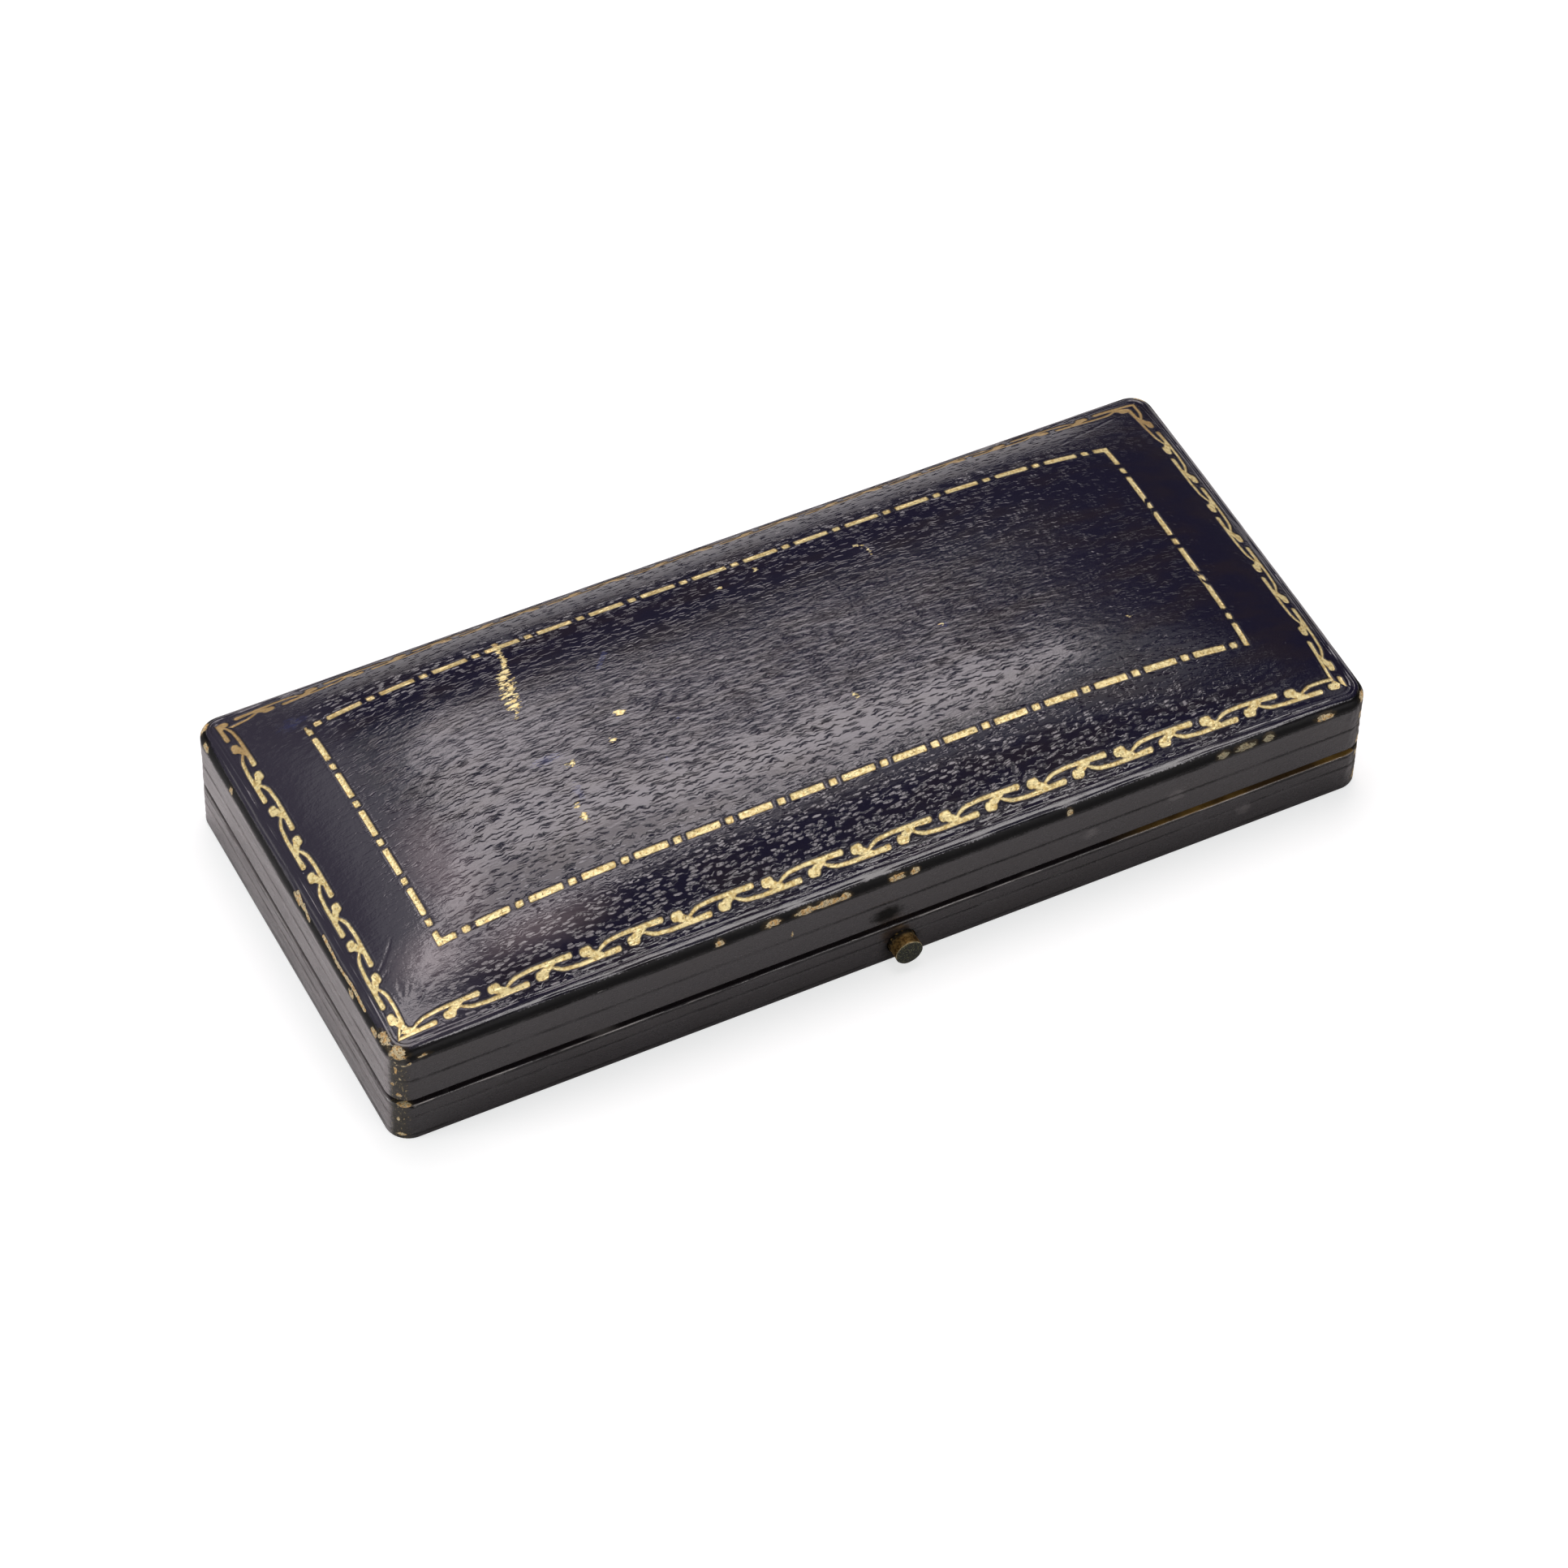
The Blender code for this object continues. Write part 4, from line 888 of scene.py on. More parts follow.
# Each kind of mark is a list of blobs: x, y, z and the three radii in mm
MARKS = {
    # Tan leather where the dye has gone: along the front, left, rear and right shoulders, then corners
    "worn": [(x, -28.75, 14.8, wide, 0.8, 0.6) for x, wide in
             ((-23.1, 0.7), (-16.2, 1.3), (-11.8, 1.7), (-9.0, 2.2), (-6.6, 0.9), (0.2, 1.3), (2.6, 0.8),
              (44.3, 1.0), (47.4, 1.6), (50.6, 0.9), (58.4, 1.5), (23.4, 0.5))]
    + [(-64.7, y, 14.9, 0.8, wide, 0.6) for y, wide in ((-17.2, 0.9), (-23.6, 0.9), (17.5, 0.6), (25.0, 0.9))]
    + [(x, 28.5, 15.2, wide, 0.7, 0.5) for x, wide in ((-42.0, 2.0), (-12.0, 1.3), (21.0, 1.6), (49.0, 1.1))]
    + [(64.5, y, 15.1, 0.8, wide, 0.5) for y, wide in ((-14.0, 1.4), (3.0, 0.9), (19.0, 1.6))]
    + [(-64.2, -25.4, 15.4, 0.9, 1.5, 0.7), (-63.6, -27.6, 15.1, 1.3, 1.2, 0.9),
       (-61.0, -28.6, 14.7, 1.1, 0.6, 0.35), (-64.35, -28.0, 12.5, 0.3, 0.3, 0.9),
       (-64.0, -28.45, 11.0, 0.3, 0.3, 0.5), (-64.6, -27.7, 9.8, 0.35, 0.4, 0.4),
       (-64.2, -28.3, 8.1, 0.6, 0.5, 0.5), (-63.8, -28.5, 6.1, 1.2, 0.9, 0.45),
       (-64.3, -28.1, 3.6, 0.3, 0.3, 0.6), (-63.9, -28.5, 2.4, 0.5, 0.4, 0.16),
       (-64.1, -28.3, 0.9, 0.9, 0.7, 0.3)]
    + [(64.3, -28.1, z, 1.0, 1.0, high) for z, high in
       ((15.0, 0.9), (12.0, 0.7), (7.6, 0.7), (5.4, 0.7), (1.2, 0.9))]
    + [(-64.2, 28.0, z, 1.2, 1.2, high) for z, high in ((15.1, 1.2), (9.0, 0.8), (4.0, 0.9))]
    + [(64.2, 28.0, 15.2, 1.3, 1.3, 1.0), (64.4, 27.9, 5.5, 1.0, 1.0, 0.8),
       (-48.5, -14.6, 22.6, 0.5, 0.35, 1), (-13.6, -29.0, 11.6, 0.2, 0.3, 0.55)]
    + [blob for path, wide in SCRATCHES for blob in trail(path, wide, 0.2)],
    # Stray gold on the top
    "fleck": [(x, y, 23.8, wide, high, 2.0) for x, y, wide, high in
              ((-21.3, 1.4, 0.9, 0.5), (-23.6, 0.0, 0.5, 0.4), (-24.0, -2.1, 0.6, 0.4),
               (-30.0, -3.3, 0.8, 0.5), (-32.1, -9.3, 0.5, 0.5), (-32.0, -11.3, 0.5, 0.9),
               (3.6, 15.8, 0.5, 0.4), (-1.6, 14.8, 0.5, 0.3), (19.6, -2.5, 0.4, 0.3),
               (40.9, -10.6, 0.6, 0.4), (-49.2, 16.1, 0.5, 0.4), (-58.7, 20.1, 0.8, 0.4),
               (41.9, -20.8, 0.7, 0.4), (5.0, -8.3, 0.4, 0.5), (37.0, -21.3, 0.4, 0.3),
               (21.0, -22.6, 0.5, 0.3))]
    + [blob for path, wide, step in DRAGS for blob in trail(path, wide, step)],
    # Blue bloom where the glaze has thinned, on the top and then on the walls
    "bloom": trail([(-20.6, 9.0, 23.8), (-18.6, 11.3, 23.8)], 0.5, 0.4)
    + [(-32.3, -1.4, 23.8, 2.6, 0.9, 2), (-19.5, -7.6, 23.8, 0.6, 0.5, 2), (-15.5, -2.3, 23.8, 0.5, 0.4, 2),
       (19.8, -2.7, 23.8, 0.9, 0.6, 2), (-31.0, -7.5, 23.8, 0.8, 1.8, 2), (-55.5, 20.8, 20.5, 2.6, 1.6, 3),
       (26.5, -29.0, 9.6, 1.5, 1, 1.1), (38.0, -29.0, 10.8, 1.7, 1, 1.4), (48.0, -29.0, 3.4, 1.4, 1, 1.2),
       (63.6, -28.6, 2.8, 1.3, 1, 2.4)],
    # Darkened by fingers and dirt
    "dirt": [(BUTTON_X, -29.0, BUTTON_Z, 3.4, 1, 2.9), (BUTTON_X - 2.2, -29.0, 8.8, 3.2, 1, 2.0)],
    # Corners frayed from top to bottom
    "fray": [(side_x * 64.12, side_y * 28.12, 7.0, wide, wide, 40) for side_x, side_y, wide in
             ((-1, -1, 1.5), (1, -1, 1.1), (-1, 1, 1.0), (1, 1, 1.0))],
    # Painted sheen, pale mauve, over the front left corner and the left part of the top
    "haze": [(-55.5, -19.5, 19.5, 8.0, 5.0, 6.0), (-44.0, -21.5, 20.5, 14.0, 4.0, 5.0),
             (-50.0, -10.0, 22.0, 6.0, 14.0, 5.0)],
}


def read_numbers(mesh, kind="co"):
    """The places of a mesh's vertices in metres, or their normals."""
    numbers = np.empty(len(mesh.vertices) * 3)
    mesh.vertices.foreach_get(kind, numbers)
    return numbers.reshape(-1, 3)


def store(mesh, name, values, floor):
    """Keeps one number per vertex under a name that the shader can ask for."""
    data = mesh.attributes.new(name, "FLOAT", "POINT").data
    data.foreach_set("value", np.maximum(values, floor).astype(np.float32))


def paint_marks(skin):
    mesh = skin.data
    points = read_numbers(mesh) / MM
    for name, blobs in MARKS.items():
        value = np.full(len(points), NOWHERE)
        for blob in blobs:
            value = np.maximum(value, 1 - np.linalg.norm((points - blob[:3]) / blob[3:], axis=1))
        store(mesh, name, value, -2)
    x, y, z = points.T
    gilt = np.full(len(points), NOWHERE)
    outside = (z > WALL_TOP + 0.9) & (z >= crown_level(x, y, 9.0) - 2.4)
    gilt[outside] = gilt_distance(x[outside], y[outside])
    store(mesh, "gilt", gilt, -1)


paint_marks(lid_skin)
paint_marks(base_skin)
print("kinds of marks:", list(MARKS))

# %% [markdown]
# The leather is goatskin with a pressed straight grain: flat glossy plateaus, cut by short wavy
# crevices that run along the box. Stretched cells give dashes of that shape: each is a smooth dent
# round a cell's point, and a noise bends them. On the front and rear slopes the skin is pushed up
# between the crevices, so there the dashes stand out and catch the light.

# %% Dashes of the grain
# Each set of dashes: a shift that makes it its own, the cells' length and spacing in mm, a dash's
# half width as a share of its cell, and the share of the cells that stay empty
CREVICES = (((0, 0, 0), 5.0, 0.38, 0.26, 0.85), ((31, 17, 7), 3.6, 0.52, 0.24, 0.8),
            ((7, 41, 9), 4.4, 0.42, 0.2, 0.85))
RUCKS = (((5, 13, 3), 2.2, 0.56, 0.29, 0.85), ((23, 9, 1), 1.8, 0.62, 0.26, 0.5))


def dashes(place, shift, length, spacing, width, share, tilted=False):
    """Short wavy dashes along the box, seen in plan: 1 along a dash's middle and 0 between them.
    Tilted ones give a height in mm instead, which falls towards the back of the box at 45 degrees."""
    bend = place.scaled(1 / 0.85, 1 / 1.2, 0).field(1.0).scaled(0.5, 0.3 if tilted else 0.8, 0.0)
    cell = place.shifted(bend).shifted(shift).scaled(1 / length, 1 / spacing, 0)
    near = cell.node("ShaderNodeTexVoronoi", {"feature": "F1", "voronoi_dimensions": "2D"},
                     Vector=cell, Scale=1.0)
    outputs = near.socket.node.outputs
    kept = Wire(cell.tree, outputs["Color"]).part(0).above(share, share - 0.02)
    if not tilted:
        return near.above(width, 0.0) * kept
    across = (Wire(cell.tree, outputs["Position"]).part(1) - cell.part(1)) * spacing
    return near.above(width, width * 0.75) * kept * across


print("sets of dashes:", len(CREVICES) + len(RUCKS))

# %% [markdown]
# One material covers both skins, so it has to know where on the box it is. The position gives that:
# the top or a wall, an end or a slope, the rim outside the gold. A few noises are shared as well, so
# that what makes one edge ragged makes the next one ragged in step. At the ends, where the skin was
# pulled tight, the dashes give way to a fine pebble.

# %% Relief of the leather
class Zones:
    """Where on the box a point lies, as masks, with the noises that several finishes share."""

    def __init__(self, place):
        self.place = place
        self.x, self.y, self.z = (place.part(index) for index in range(3))
        self.top = self.z.above(14.4, 15.4)
        self.walls = 1 - self.top
        self.end_walls = self.x.size().above(64.4, 64.8) * self.walls
        self.near_end = self.x.size().above(48.0, 58.0)
        self.inner = self.top * self.y.size().above(27.8, 27.3) * self.x.size().above(63.6, 63.1)
        self.mottle = place.noise((9.0, 3.0, 3.0), 3.0)
        self.streaks = place.noise((9, 9, 0.3), 3.0, 0.6)
        self.pull = place.noise((0.9, 0.9, 0.3), 4.0, 0.65)
        self.ragged = place.scaled(0.6, 1.3, 1.3).noise(0.5, 4.0, 0.65) - 0.5
        self.edge = place.noise(0.2, 2.5, 0.6) - 0.5

    def mark(self, name):
        """The number that is stored on the mesh under a name."""
        settings = {"attribute_name": name, "attribute_type": "GEOMETRY"}
        return self.place.node("ShaderNodeAttribute", settings, out=2)


def grain_height(at):
    """The height of the grain in mm: crevices, pebble, folds, rucks, and the streaks of the walls."""
    place, inner = at.place, at.inner
    first, *others = (dashes(place, *kind) for kind in CREVICES)
    for other in others:
        first = first.most(other)
    keep = 1 - at.near_end * 0.85
    tight = 1 - at.y.above(0.0, 12.0) * 0.55
    slope = at.y.size().above(15.0, 21.0) * at.top
    height = first * (slope * -0.028 + 0.052) * (inner * keep * tight) * -1
    height = height + place.noise(0.28, 2.0, 0.6) * (at.near_end * 0.012 + 0.008)
    height = height + place.noise((1.8, 0.6, 0.6), 2.0, 0.5) * (inner * 0.028 + 0.010)
    height = height + place.noise((2.2, 2.2, 0.16), 3.0, 0.6) * (at.top * (1 - inner)) * 0.012
    height = height + at.pull * at.walls * 0.035 + at.streaks * at.walls * 0.022
    rucks = dashes(place, *RUCKS[0], True) + dashes(place, *RUCKS[1], True)
    faces_front = at.y.above(-14.0, -20.0) - at.y.above(14.0, 20.0)
    return height + rucks * (faces_front * keep * inner) * 0.5


print("relief ready")

# %% [markdown]
# The stored marks become masks with ragged edges. A noise is added to each before it is cut at a
# level, so its outline frays, and the tan patches are speckled where dye is left in the pores.

# %% Wear of the leather
def find_wear(at):
    """Adds the masks of the wear and of the gold to the zones."""
    place = at.place
    at.rubbed = at.mark("worn") + at.ragged * 1.3
    at.worn = at.rubbed.above(0.1, 0.26) * (1 - place.noise(0.16, 2.0, 0.6).above(0.53, 0.60) * 0.75)
    at.fray = (at.mark("fray") + at.ragged * 1.2).above(0.0, 0.5) * at.walls
    at.shreds = place.noise((0.24, 0.24, 0.4), 3.0, 0.7)
    at.bloom = (at.mark("bloom") + at.ragged * 2.0).above(0.0, 0.9)
    at.dirt = (at.mark("dirt") + at.ragged * 0.9).above(0.1, 0.7)
    # A painted sheen, pale mauve, over the front left corner and the left of the top
    at.haze = (at.mark("haze") + at.ragged * 0.4).above(0.0, 1.0)
    # Bare brown leather on the base's rim, seen in the gap at the front right
    at.ledge = (at.z.above(6.05, 6.15) * at.z.above(6.6, 6.5) * at.x.above(28.0, 40.0)
                * (at.y + at.ragged * 1.5).above(-26.6, -27.3))
    ticks = place.scaled(0.8, 2.6, 1.0).noise(0.7, 3.0, 0.7) - 0.5
    fleck = (at.mark("fleck") + ticks * 3.8).above(0.18, 0.32)
    at.line = at.mark("gilt")
    # Painted shade along the rim of the gold's impressions, laid on through the dark mask
    at.pressed = (at.line + at.edge * 0.1).above(-0.24, -0.1)
    pits = place.noise(0.2, 3.0, 0.7).above(0.60, 0.65)
    at.gilt = ((at.line + at.edge * 0.22).above(-0.02, 0.02) * (1 - pits * 0.85)).most(fleck)
    # Painted shade: in the pressed lines of the walls, and in a band under the shoulder
    levels = (LID_LINES[0], *BASE_LINES, 14.1, 0.8)
    first, *others = ((at.z - level).size() for level in levels)
    for other in others:
        first = first.least(other)
    groove_shade = (first + at.edge * 0.5).above(0.24, 0.06) * at.walls * at.mottle.above(0.35, 0.6)
    at.band = ((at.z + at.edge * 0.4 + at.ragged * 0.5).above(14.0, 14.3)
               * (at.z + at.edge * 0.5).above(15.8, 15.55))
    # Dark: the dirt round the button, with painted shade round the gold, in the wall lines and under the
    # shoulder
    at.dark = (at.dirt.most(at.pressed * 0.35).most(groove_shade * 0.6).most(at.band * 0.95)
               * (1 - at.worn) * (1 - at.ledge) * (1 - at.fray))


print("masks of wear ready")

# %% [markdown]
# The colours are laid on in this order: navy dye, a painted sheen that greys the left end of the top,
# a painted reflection of the white table that greys the end walls, a painted sheen over the front
# left corner, bloom, a painted highlight along the base's top edge, dirt with painted shade, rubbed
# edges and bare tan. The gold is a second finish in the same material: leaf is thin, so it takes the
# leather's dents and is worn through in pits. The end walls carry a coat, because the photograph shows
# the white table in them.

# %% Navy leather with gold
def hide_colour(at):
    hide = at.mottle.above(0.4, 0.7).tint((0.0075, 0.0062, 0.019), (0.012, 0.0085, 0.016))
    # Painted sheen: the top is lighter and greyer towards the left end
    hide = hide.blend((0.030, 0.027, 0.040), at.x.above(-47.0, -56.0) * at.top)
    hide = hide.blend((0.016, 0.0125, 0.012), at.walls * 0.8)
    # Painted reflection of the white table: the end walls are greyed, in streaks
    hide = hide.blend((0.20, 0.172, 0.174), at.end_walls * (at.streaks.above(0.3, 0.7) * 0.5 + 0.5))
    # Painted sheen over the front left corner
    hide = hide.blend((0.15, 0.122, 0.135), at.haze * 0.6)
    hide = hide.blend(at.top.tint((0.11, 0.10, 0.10), (0.035, 0.045, 0.13)), at.bloom * 0.5)
    # Painted highlight: a broken pale line along the base's top edge
    lip = (at.z - 6.1).size().above(0.09, 0.03) * at.place.noise((12, 12, 1), 3.0, 0.7).above(0.48, 0.56)
    hide = hide.blend((0.30, 0.28, 0.27), lip * 0.8)
    hide = hide.blend(at.mottle.above(0.4, 0.6).tint((0.26, 0.155, 0.035), (0.07, 0.04, 0.015)), at.ledge)
    # Near black for the dirt round the button and for the painted shade
    hide = hide.blend((0.004, 0.004, 0.004), at.dark)
    hide = hide.blend((0.035, 0.026, 0.014), at.rubbed.above(-0.35, 0.1) * 0.8)
    hide = hide.blend((0.022, 0.018, 0.012), at.fray)
    hide = hide.blend((0.36, 0.27, 0.12), at.fray * at.shreds.above(0.60, 0.66))
    tan = at.place.noise(0.5, 2.0).above(0.42, 0.52).tint((0.60, 0.37, 0.13), (0.58, 0.48, 0.28))
    tan = tan.blend((0.22, 0.21, 0.13), at.x.above(15.0, 35.0) * at.x.above(56.0, 54.0) * 0.8)
    return hide.blend(tan, at.worn)


def gold_colour(at):
    """Leaf that is bright in the middle of a stroke, dull at its rim and brown along the rear."""
    gold = at.place.noise(0.45, 3.0).above(0.42, 0.66).tint((0.95, 0.82, 0.42), (0.66, 0.49, 0.18))
    gold = gold.blend((0.40, 0.24, 0.09), at.y.above(17.5, 20.5) * 0.75)
    rim = (at.line + at.edge * 0.12).above(0.13, 0.02) * at.line.above(-0.3, -0.05)
    return gold.blend((0.16, 0.09, 0.03), rim * 0.7)


def leather_finish():
    material, shader, place = start_material("navy_leather")
    at = Zones(place)
    find_wear(at)
    height = grain_height(at) + at.shreds * at.fray * 0.07 - at.worn * 0.03
    height = height + (place.noise(0.24, 2.0) * 0.06 + 0.01) * at.gilt
    dull = at.mottle * 0.05 + 0.145 + at.pull * at.walls * 0.25 + at.fray * 0.25
    roughs = ((at.worn, 0.8), (at.dirt, 0.5), (at.pressed, 0.4), (at.band, 0.45), (at.gilt, 0.36))
    for mask, rough in roughs:
        dull = dull.most(mask * rough)
    glaze = at.end_walls * (at.streaks.above(0.3, 0.62) * 0.7 + 0.3) * (1 - at.dark) * (1 - at.worn)
    feed(shader, Base_Color=hide_colour(at).blend(gold_colour(at), at.gilt),
         Metallic=(at.gilt * 0.45).most(at.dark * 0.9 * (1 - at.gilt)), Roughness=dull, IOR=1.66,
         Coat_Weight=glaze, Coat_Roughness=0.22, Coat_IOR=1.6, Normal=relief(height))
    return material


leather = leather_finish()
for skin in (lid_skin, base_skin):
    skin.data.materials.clear()
    skin.data.materials.append(leather)
print("leather nodes:", len(leather.node_tree.nodes))

# %% [markdown]
# Brass shows its age by where it is touched. The button's side is rubbed golden, its face is a dark
# mottled green and its root is darker where it meets the wall. The hinges and the catch, which sit
# inside, are only dull: clean brass with tarnish laid over it by noise, and faint file marks.

# %% Brass
def brass_finish():
    material, shader, place = start_material("fitting_brass")
    cloud = place.noise(0.9, 4.0, 0.65)
    dull = cloud.above(0.48, 0.64)
    tone = dull.tint((0.72, 0.52, 0.22), (0.38, 0.25, 0.10))
    tone = tone.blend((0.10, 0.07, 0.04), place.noise(0.18, 2.0, 0.6).above(0.62, 0.7) * 0.7)
    marks = place.scaled(0.4, 6, 6).noise(1.0, 2.0, 0.5)
    feed(shader, Base_Color=tone, Metallic=1 - dull * 0.35, Roughness=dull * 0.25 + marks * 0.1 + 0.22,
         Normal=relief(marks * 0.006 + cloud * 0.012))
    return material


def button_finish():
    material, shader, place = start_material("button_brass")
    y = place.part(1)
    face, root = y.above(-30.85, -31.0), y.above(-30.0, -29.2)
    blotch = place.noise(0.55, 4.0, 0.65)
    side = blotch.above(0.44, 0.6).tint((0.72, 0.47, 0.17), (0.25, 0.14, 0.04))
    front = place.noise(0.3, 3.0, 0.7).above(0.52, 0.62).tint((0.010, 0.012, 0.007), (0.07, 0.07, 0.03))
    front = front.blend((0.34, 0.38, 0.24), place.noise(0.14, 2.0, 0.6).above(0.64, 0.70))
    lip = (y + 31.0).size().above(0.10, 0.03)
    front = front.blend((0.50, 0.42, 0.24), lip * blotch.above(0.35, 0.5))
    tone = side.blend(front, face).blend((0.02, 0.018, 0.012), root * blotch.above(0.3, 0.5))
    feed(shader, Base_Color=tone, Metallic=(1 - face * 0.75) * (1 - root * 0.6),
         Roughness=blotch * 0.25 + face * 0.2 + 0.3,
         Normal=relief(blotch * 0.05 + place.noise(0.16, 2.0) * (face * 0.035 + 0.008)))
    return material


def dress(nodes, material):
    """Gives a material to CAD nodes that stay as they are."""
    for name in nodes:
        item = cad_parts[name]
        item.data.materials.clear()
        item.data.materials.append(material)


fittings = [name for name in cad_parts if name.startswith(("hinge", "latch", "striker"))]
dress(fittings, brass_finish())
print("brass pieces:", len(fittings))

# %% [markdown]
# The button was turned on a lathe, so it is turned here too: a profile of distances along its axis
# and radii, with a rolled edge round a domed face. Small dents keep the highlight from being a
# perfect ring. The flat bar at its inner end, which keeps it in its hole, belongs to the same piece.

# %% Push button
BUTTON_RADIUS, BUTTON_FRONT, BUTTON_LENGTH, BUTTON_STEPS = 1.78, -31.3, 4.22, 64
BAR_SIZE = (5.4, 0.35, 3.2)


def button_profile():
    """Distances along the axis with radii, from the middle of the face to the inner end."""
    face = [(0.20 * (1 - math.cos(share * 1.2)), 0.86 * share) for share in (0.25, 0.5, 0.75, 1.0)]
    side = [(0.16, 0.92), (0.20, 0.97), (0.29, 1), (0.5, 0.995), (1.2, 0.985), (2.0, 0.985), (2.3, 1),
            (BUTTON_LENGTH, 1)]
    return [(0.0, 0.02)] + [(along, BUTTON_RADIUS * share) for along, share in face + side]


def make_button():
    shape = bmesh.new()
    rows = []
    for along, around in button_profile():
        row = []
        for step in range(BUTTON_STEPS):
            angle = math.tau * step / BUTTON_STEPS
            dent = 1 + 0.012 * math.sin(3 * angle + along * 5) + 0.006 * math.sin(7 * angle + along * 9)
            reach = around * (dent if around < BUTTON_RADIUS * 0.999 else 1.0)
            row.append(shape.verts.new(Vector((BUTTON_X + reach * math.cos(angle), BUTTON_FRONT + along,
                                               BUTTON_Z + reach * math.sin(angle))) * MM))
        rows.append(row)
    for near, far in zip(rows, rows[1:]):
        for step in range(BUTTON_STEPS):
            after = (step + 1) % BUTTON_STEPS
            shape.faces.new((near[step], far[step], far[after], near[after]))
    shape.faces.new(rows[0])
    shape.faces.new(list(reversed(rows[-1])))
    bar = bmesh.ops.create_cube(shape, size=1.0)["verts"]
    bmesh.ops.scale(shape, vec=Vector(BAR_SIZE) * MM, verts=bar)
    back = Vector((BUTTON_X, BUTTON_FRONT + BUTTON_LENGTH + 0.005, BUTTON_Z)) * MM
    bmesh.ops.translate(shape, vec=back, verts=bar)
    bmesh.ops.bevel(shape, geom=list({edge for vert in bar for edge in vert.link_edges}), offset=0.06 * MM,
                    segments=2, affect="EDGES")
    mesh = bpy.data.meshes.new("push_button_turned")
    write_shape(shape, mesh)
    mesh.materials.append(button_finish())
    item = finish_shading(add_object("push_button_turned", mesh), 40)
    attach(item, "button")
    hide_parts("push_button")
    print("faces of the button:", len(mesh.polygons))


make_button()

# %% [markdown]
# The spring is a copy of its CAD leaf, cut across at even steps along its length and dressed in
# brass.

# %% Latch spring
# The leaf lies this far behind the front face; the rest are places along x from the button
LEAF_BEHIND, FIRST_CUT, CUT_STEP, CUTS, BEND = 2.5, -12.22, 0.78, 15, (-11, -2.2)


def make_spring():
    shape = bmesh.new()
    shape.from_mesh(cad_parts["latch_spring"].data)
    for step in range(CUTS):
        along = (BUTTON_X + FIRST_CUT + step * CUT_STEP) * MM
        bmesh.ops.bisect_plane(shape, geom=shape.verts[:] + shape.edges[:] + shape.faces[:], dist=1e-7,
                               plane_co=(along, 0, 0), plane_no=(1, 0, 0))
    mesh = bpy.data.meshes.new("latch_spring_leaf")
    shape.to_mesh(mesh)
    shape.free()
    mesh.materials.clear()
    mesh.materials.append(bpy.data.materials["fitting_brass"])
    item = finish_shading(add_object("latch_spring_leaf", mesh), 35)
    start, end = (((BUTTON_X + along) * MM, (LEAF_BEHIND - HALF_Y) * MM, BUTTON_Z * MM) for along in BEND)
    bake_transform(item)
    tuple(start)
    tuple(end)
    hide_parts("latch_spring")
    print("faces of the spring:", len(mesh.polygons))


make_spring()

# %% [markdown]
# Under the leather is plain wood, with glue stains. The card below the slotted pad is faced with
# blue paper, because it shows at the bottom of the slots. Wood grain is a set of long
# rings seen side on, so it is a noise stretched along the board, with darker pores in it. The side
# rails run across the box, so their grain is turned.

# %% Wood, card and bookcloth
def wood_finish(name, across):
    material, shader, place = start_material(name)
    rings = place.noise((0.9, 16, 0.7) if across else (16, 0.9, 0.7), 3.0, 0.6, 0.6)
    pores = place.noise((0.12, 2.2, 0.12) if across else (2.2, 0.12, 0.12), 2.0, 0.6)
    tone = rings.above(0.35, 0.65).tint((0.50, 0.34, 0.19), (0.36, 0.22, 0.11))
    tone = tone.blend((0.10, 0.055, 0.025), pores.above(0.6, 0.7) * 0.7)
    stain = place.noise(6.0, 3.0, 0.6).above(0.55, 0.7)
    feed(shader, Base_Color=tone.blend((0.16, 0.09, 0.04), stain * 0.5), Roughness=0.55 + pores * 0.2,
         Normal=relief(pores * -0.03 + rings * 0.04))
    return material


def card_finish(name, light, dark):
    material, shader, place = start_material(name)
    fibre = place.scaled(1, 3, 3).noise(0.5, 4.0, 0.7)
    tone = fibre.tint(light, dark).blend((0.03, 0.025, 0.03), place.noise(0.25, 2.0).above(0.66, 0.72))
    feed(shader, Base_Color=tone, Roughness=fibre * 0.1 + 0.82, Normal=relief(fibre * 0.03))
    return material


def wave(along, pitch):
    """A sine wave along a distance in mm."""
    return (along * (math.tau / pitch)).maths("SINE")


def bookcloth_finish():
    material, shader, place = start_material("underside_cloth")
    wander = place.shifted(place.field(3.0).scaled(0.12, 0.12, 0))
    warp, weft = (wave(wander.part(index), pitch) * 0.5 + 0.5 for index, pitch in ((0, 0.42), (1, 0.46)))
    weave = warp.most(weft)
    rub = place.noise(9.0, 4.0, 0.6).above(0.48, 0.68)
    tone = (weave * 0.6).tint((0.020, 0.021, 0.034), (0.055, 0.053, 0.068))
    tone = tone.blend((0.14, 0.125, 0.12), rub * weave * 0.6)
    feed(shader, Base_Color=tone, Roughness=0.72 + rub * 0.12,
         Normal=relief(weave * 0.05 + place.noise(2.0) * 0.03))
    return material


along_box = [f"{box}_{side}_rail" for box in ("base", "lid") for side in ("front", "rear")]
across_box = [f"{box}_{side}_rail" for box in ("base", "lid") for side in ("left", "right")]
dress(along_box + ["base_floor_board", "lid_top_board"], wood_finish("bare_wood", False))
dress(across_box, wood_finish("bare_wood_across", True))
dress(["lid_pad_board"], card_finish("card", (0.34, 0.30, 0.26), (0.24, 0.21, 0.18)))
dress(["cufflink_pad_board"], card_finish("card_blue", (0.022, 0.026, 0.075), (0.012, 0.014, 0.040)))
dress(["underside_sheet"], bookcloth_finish())
print("materials so far:", len(bpy.data.materials))

# %% [markdown]
# The gold brown paper that lines such a case is printed with bronze powder over a fine pressed
# check. It shows when the lid is raised, and its bronze is rubbed and dulled in patches.

# %% Gold paper
CHECK_PITCH = 0.7


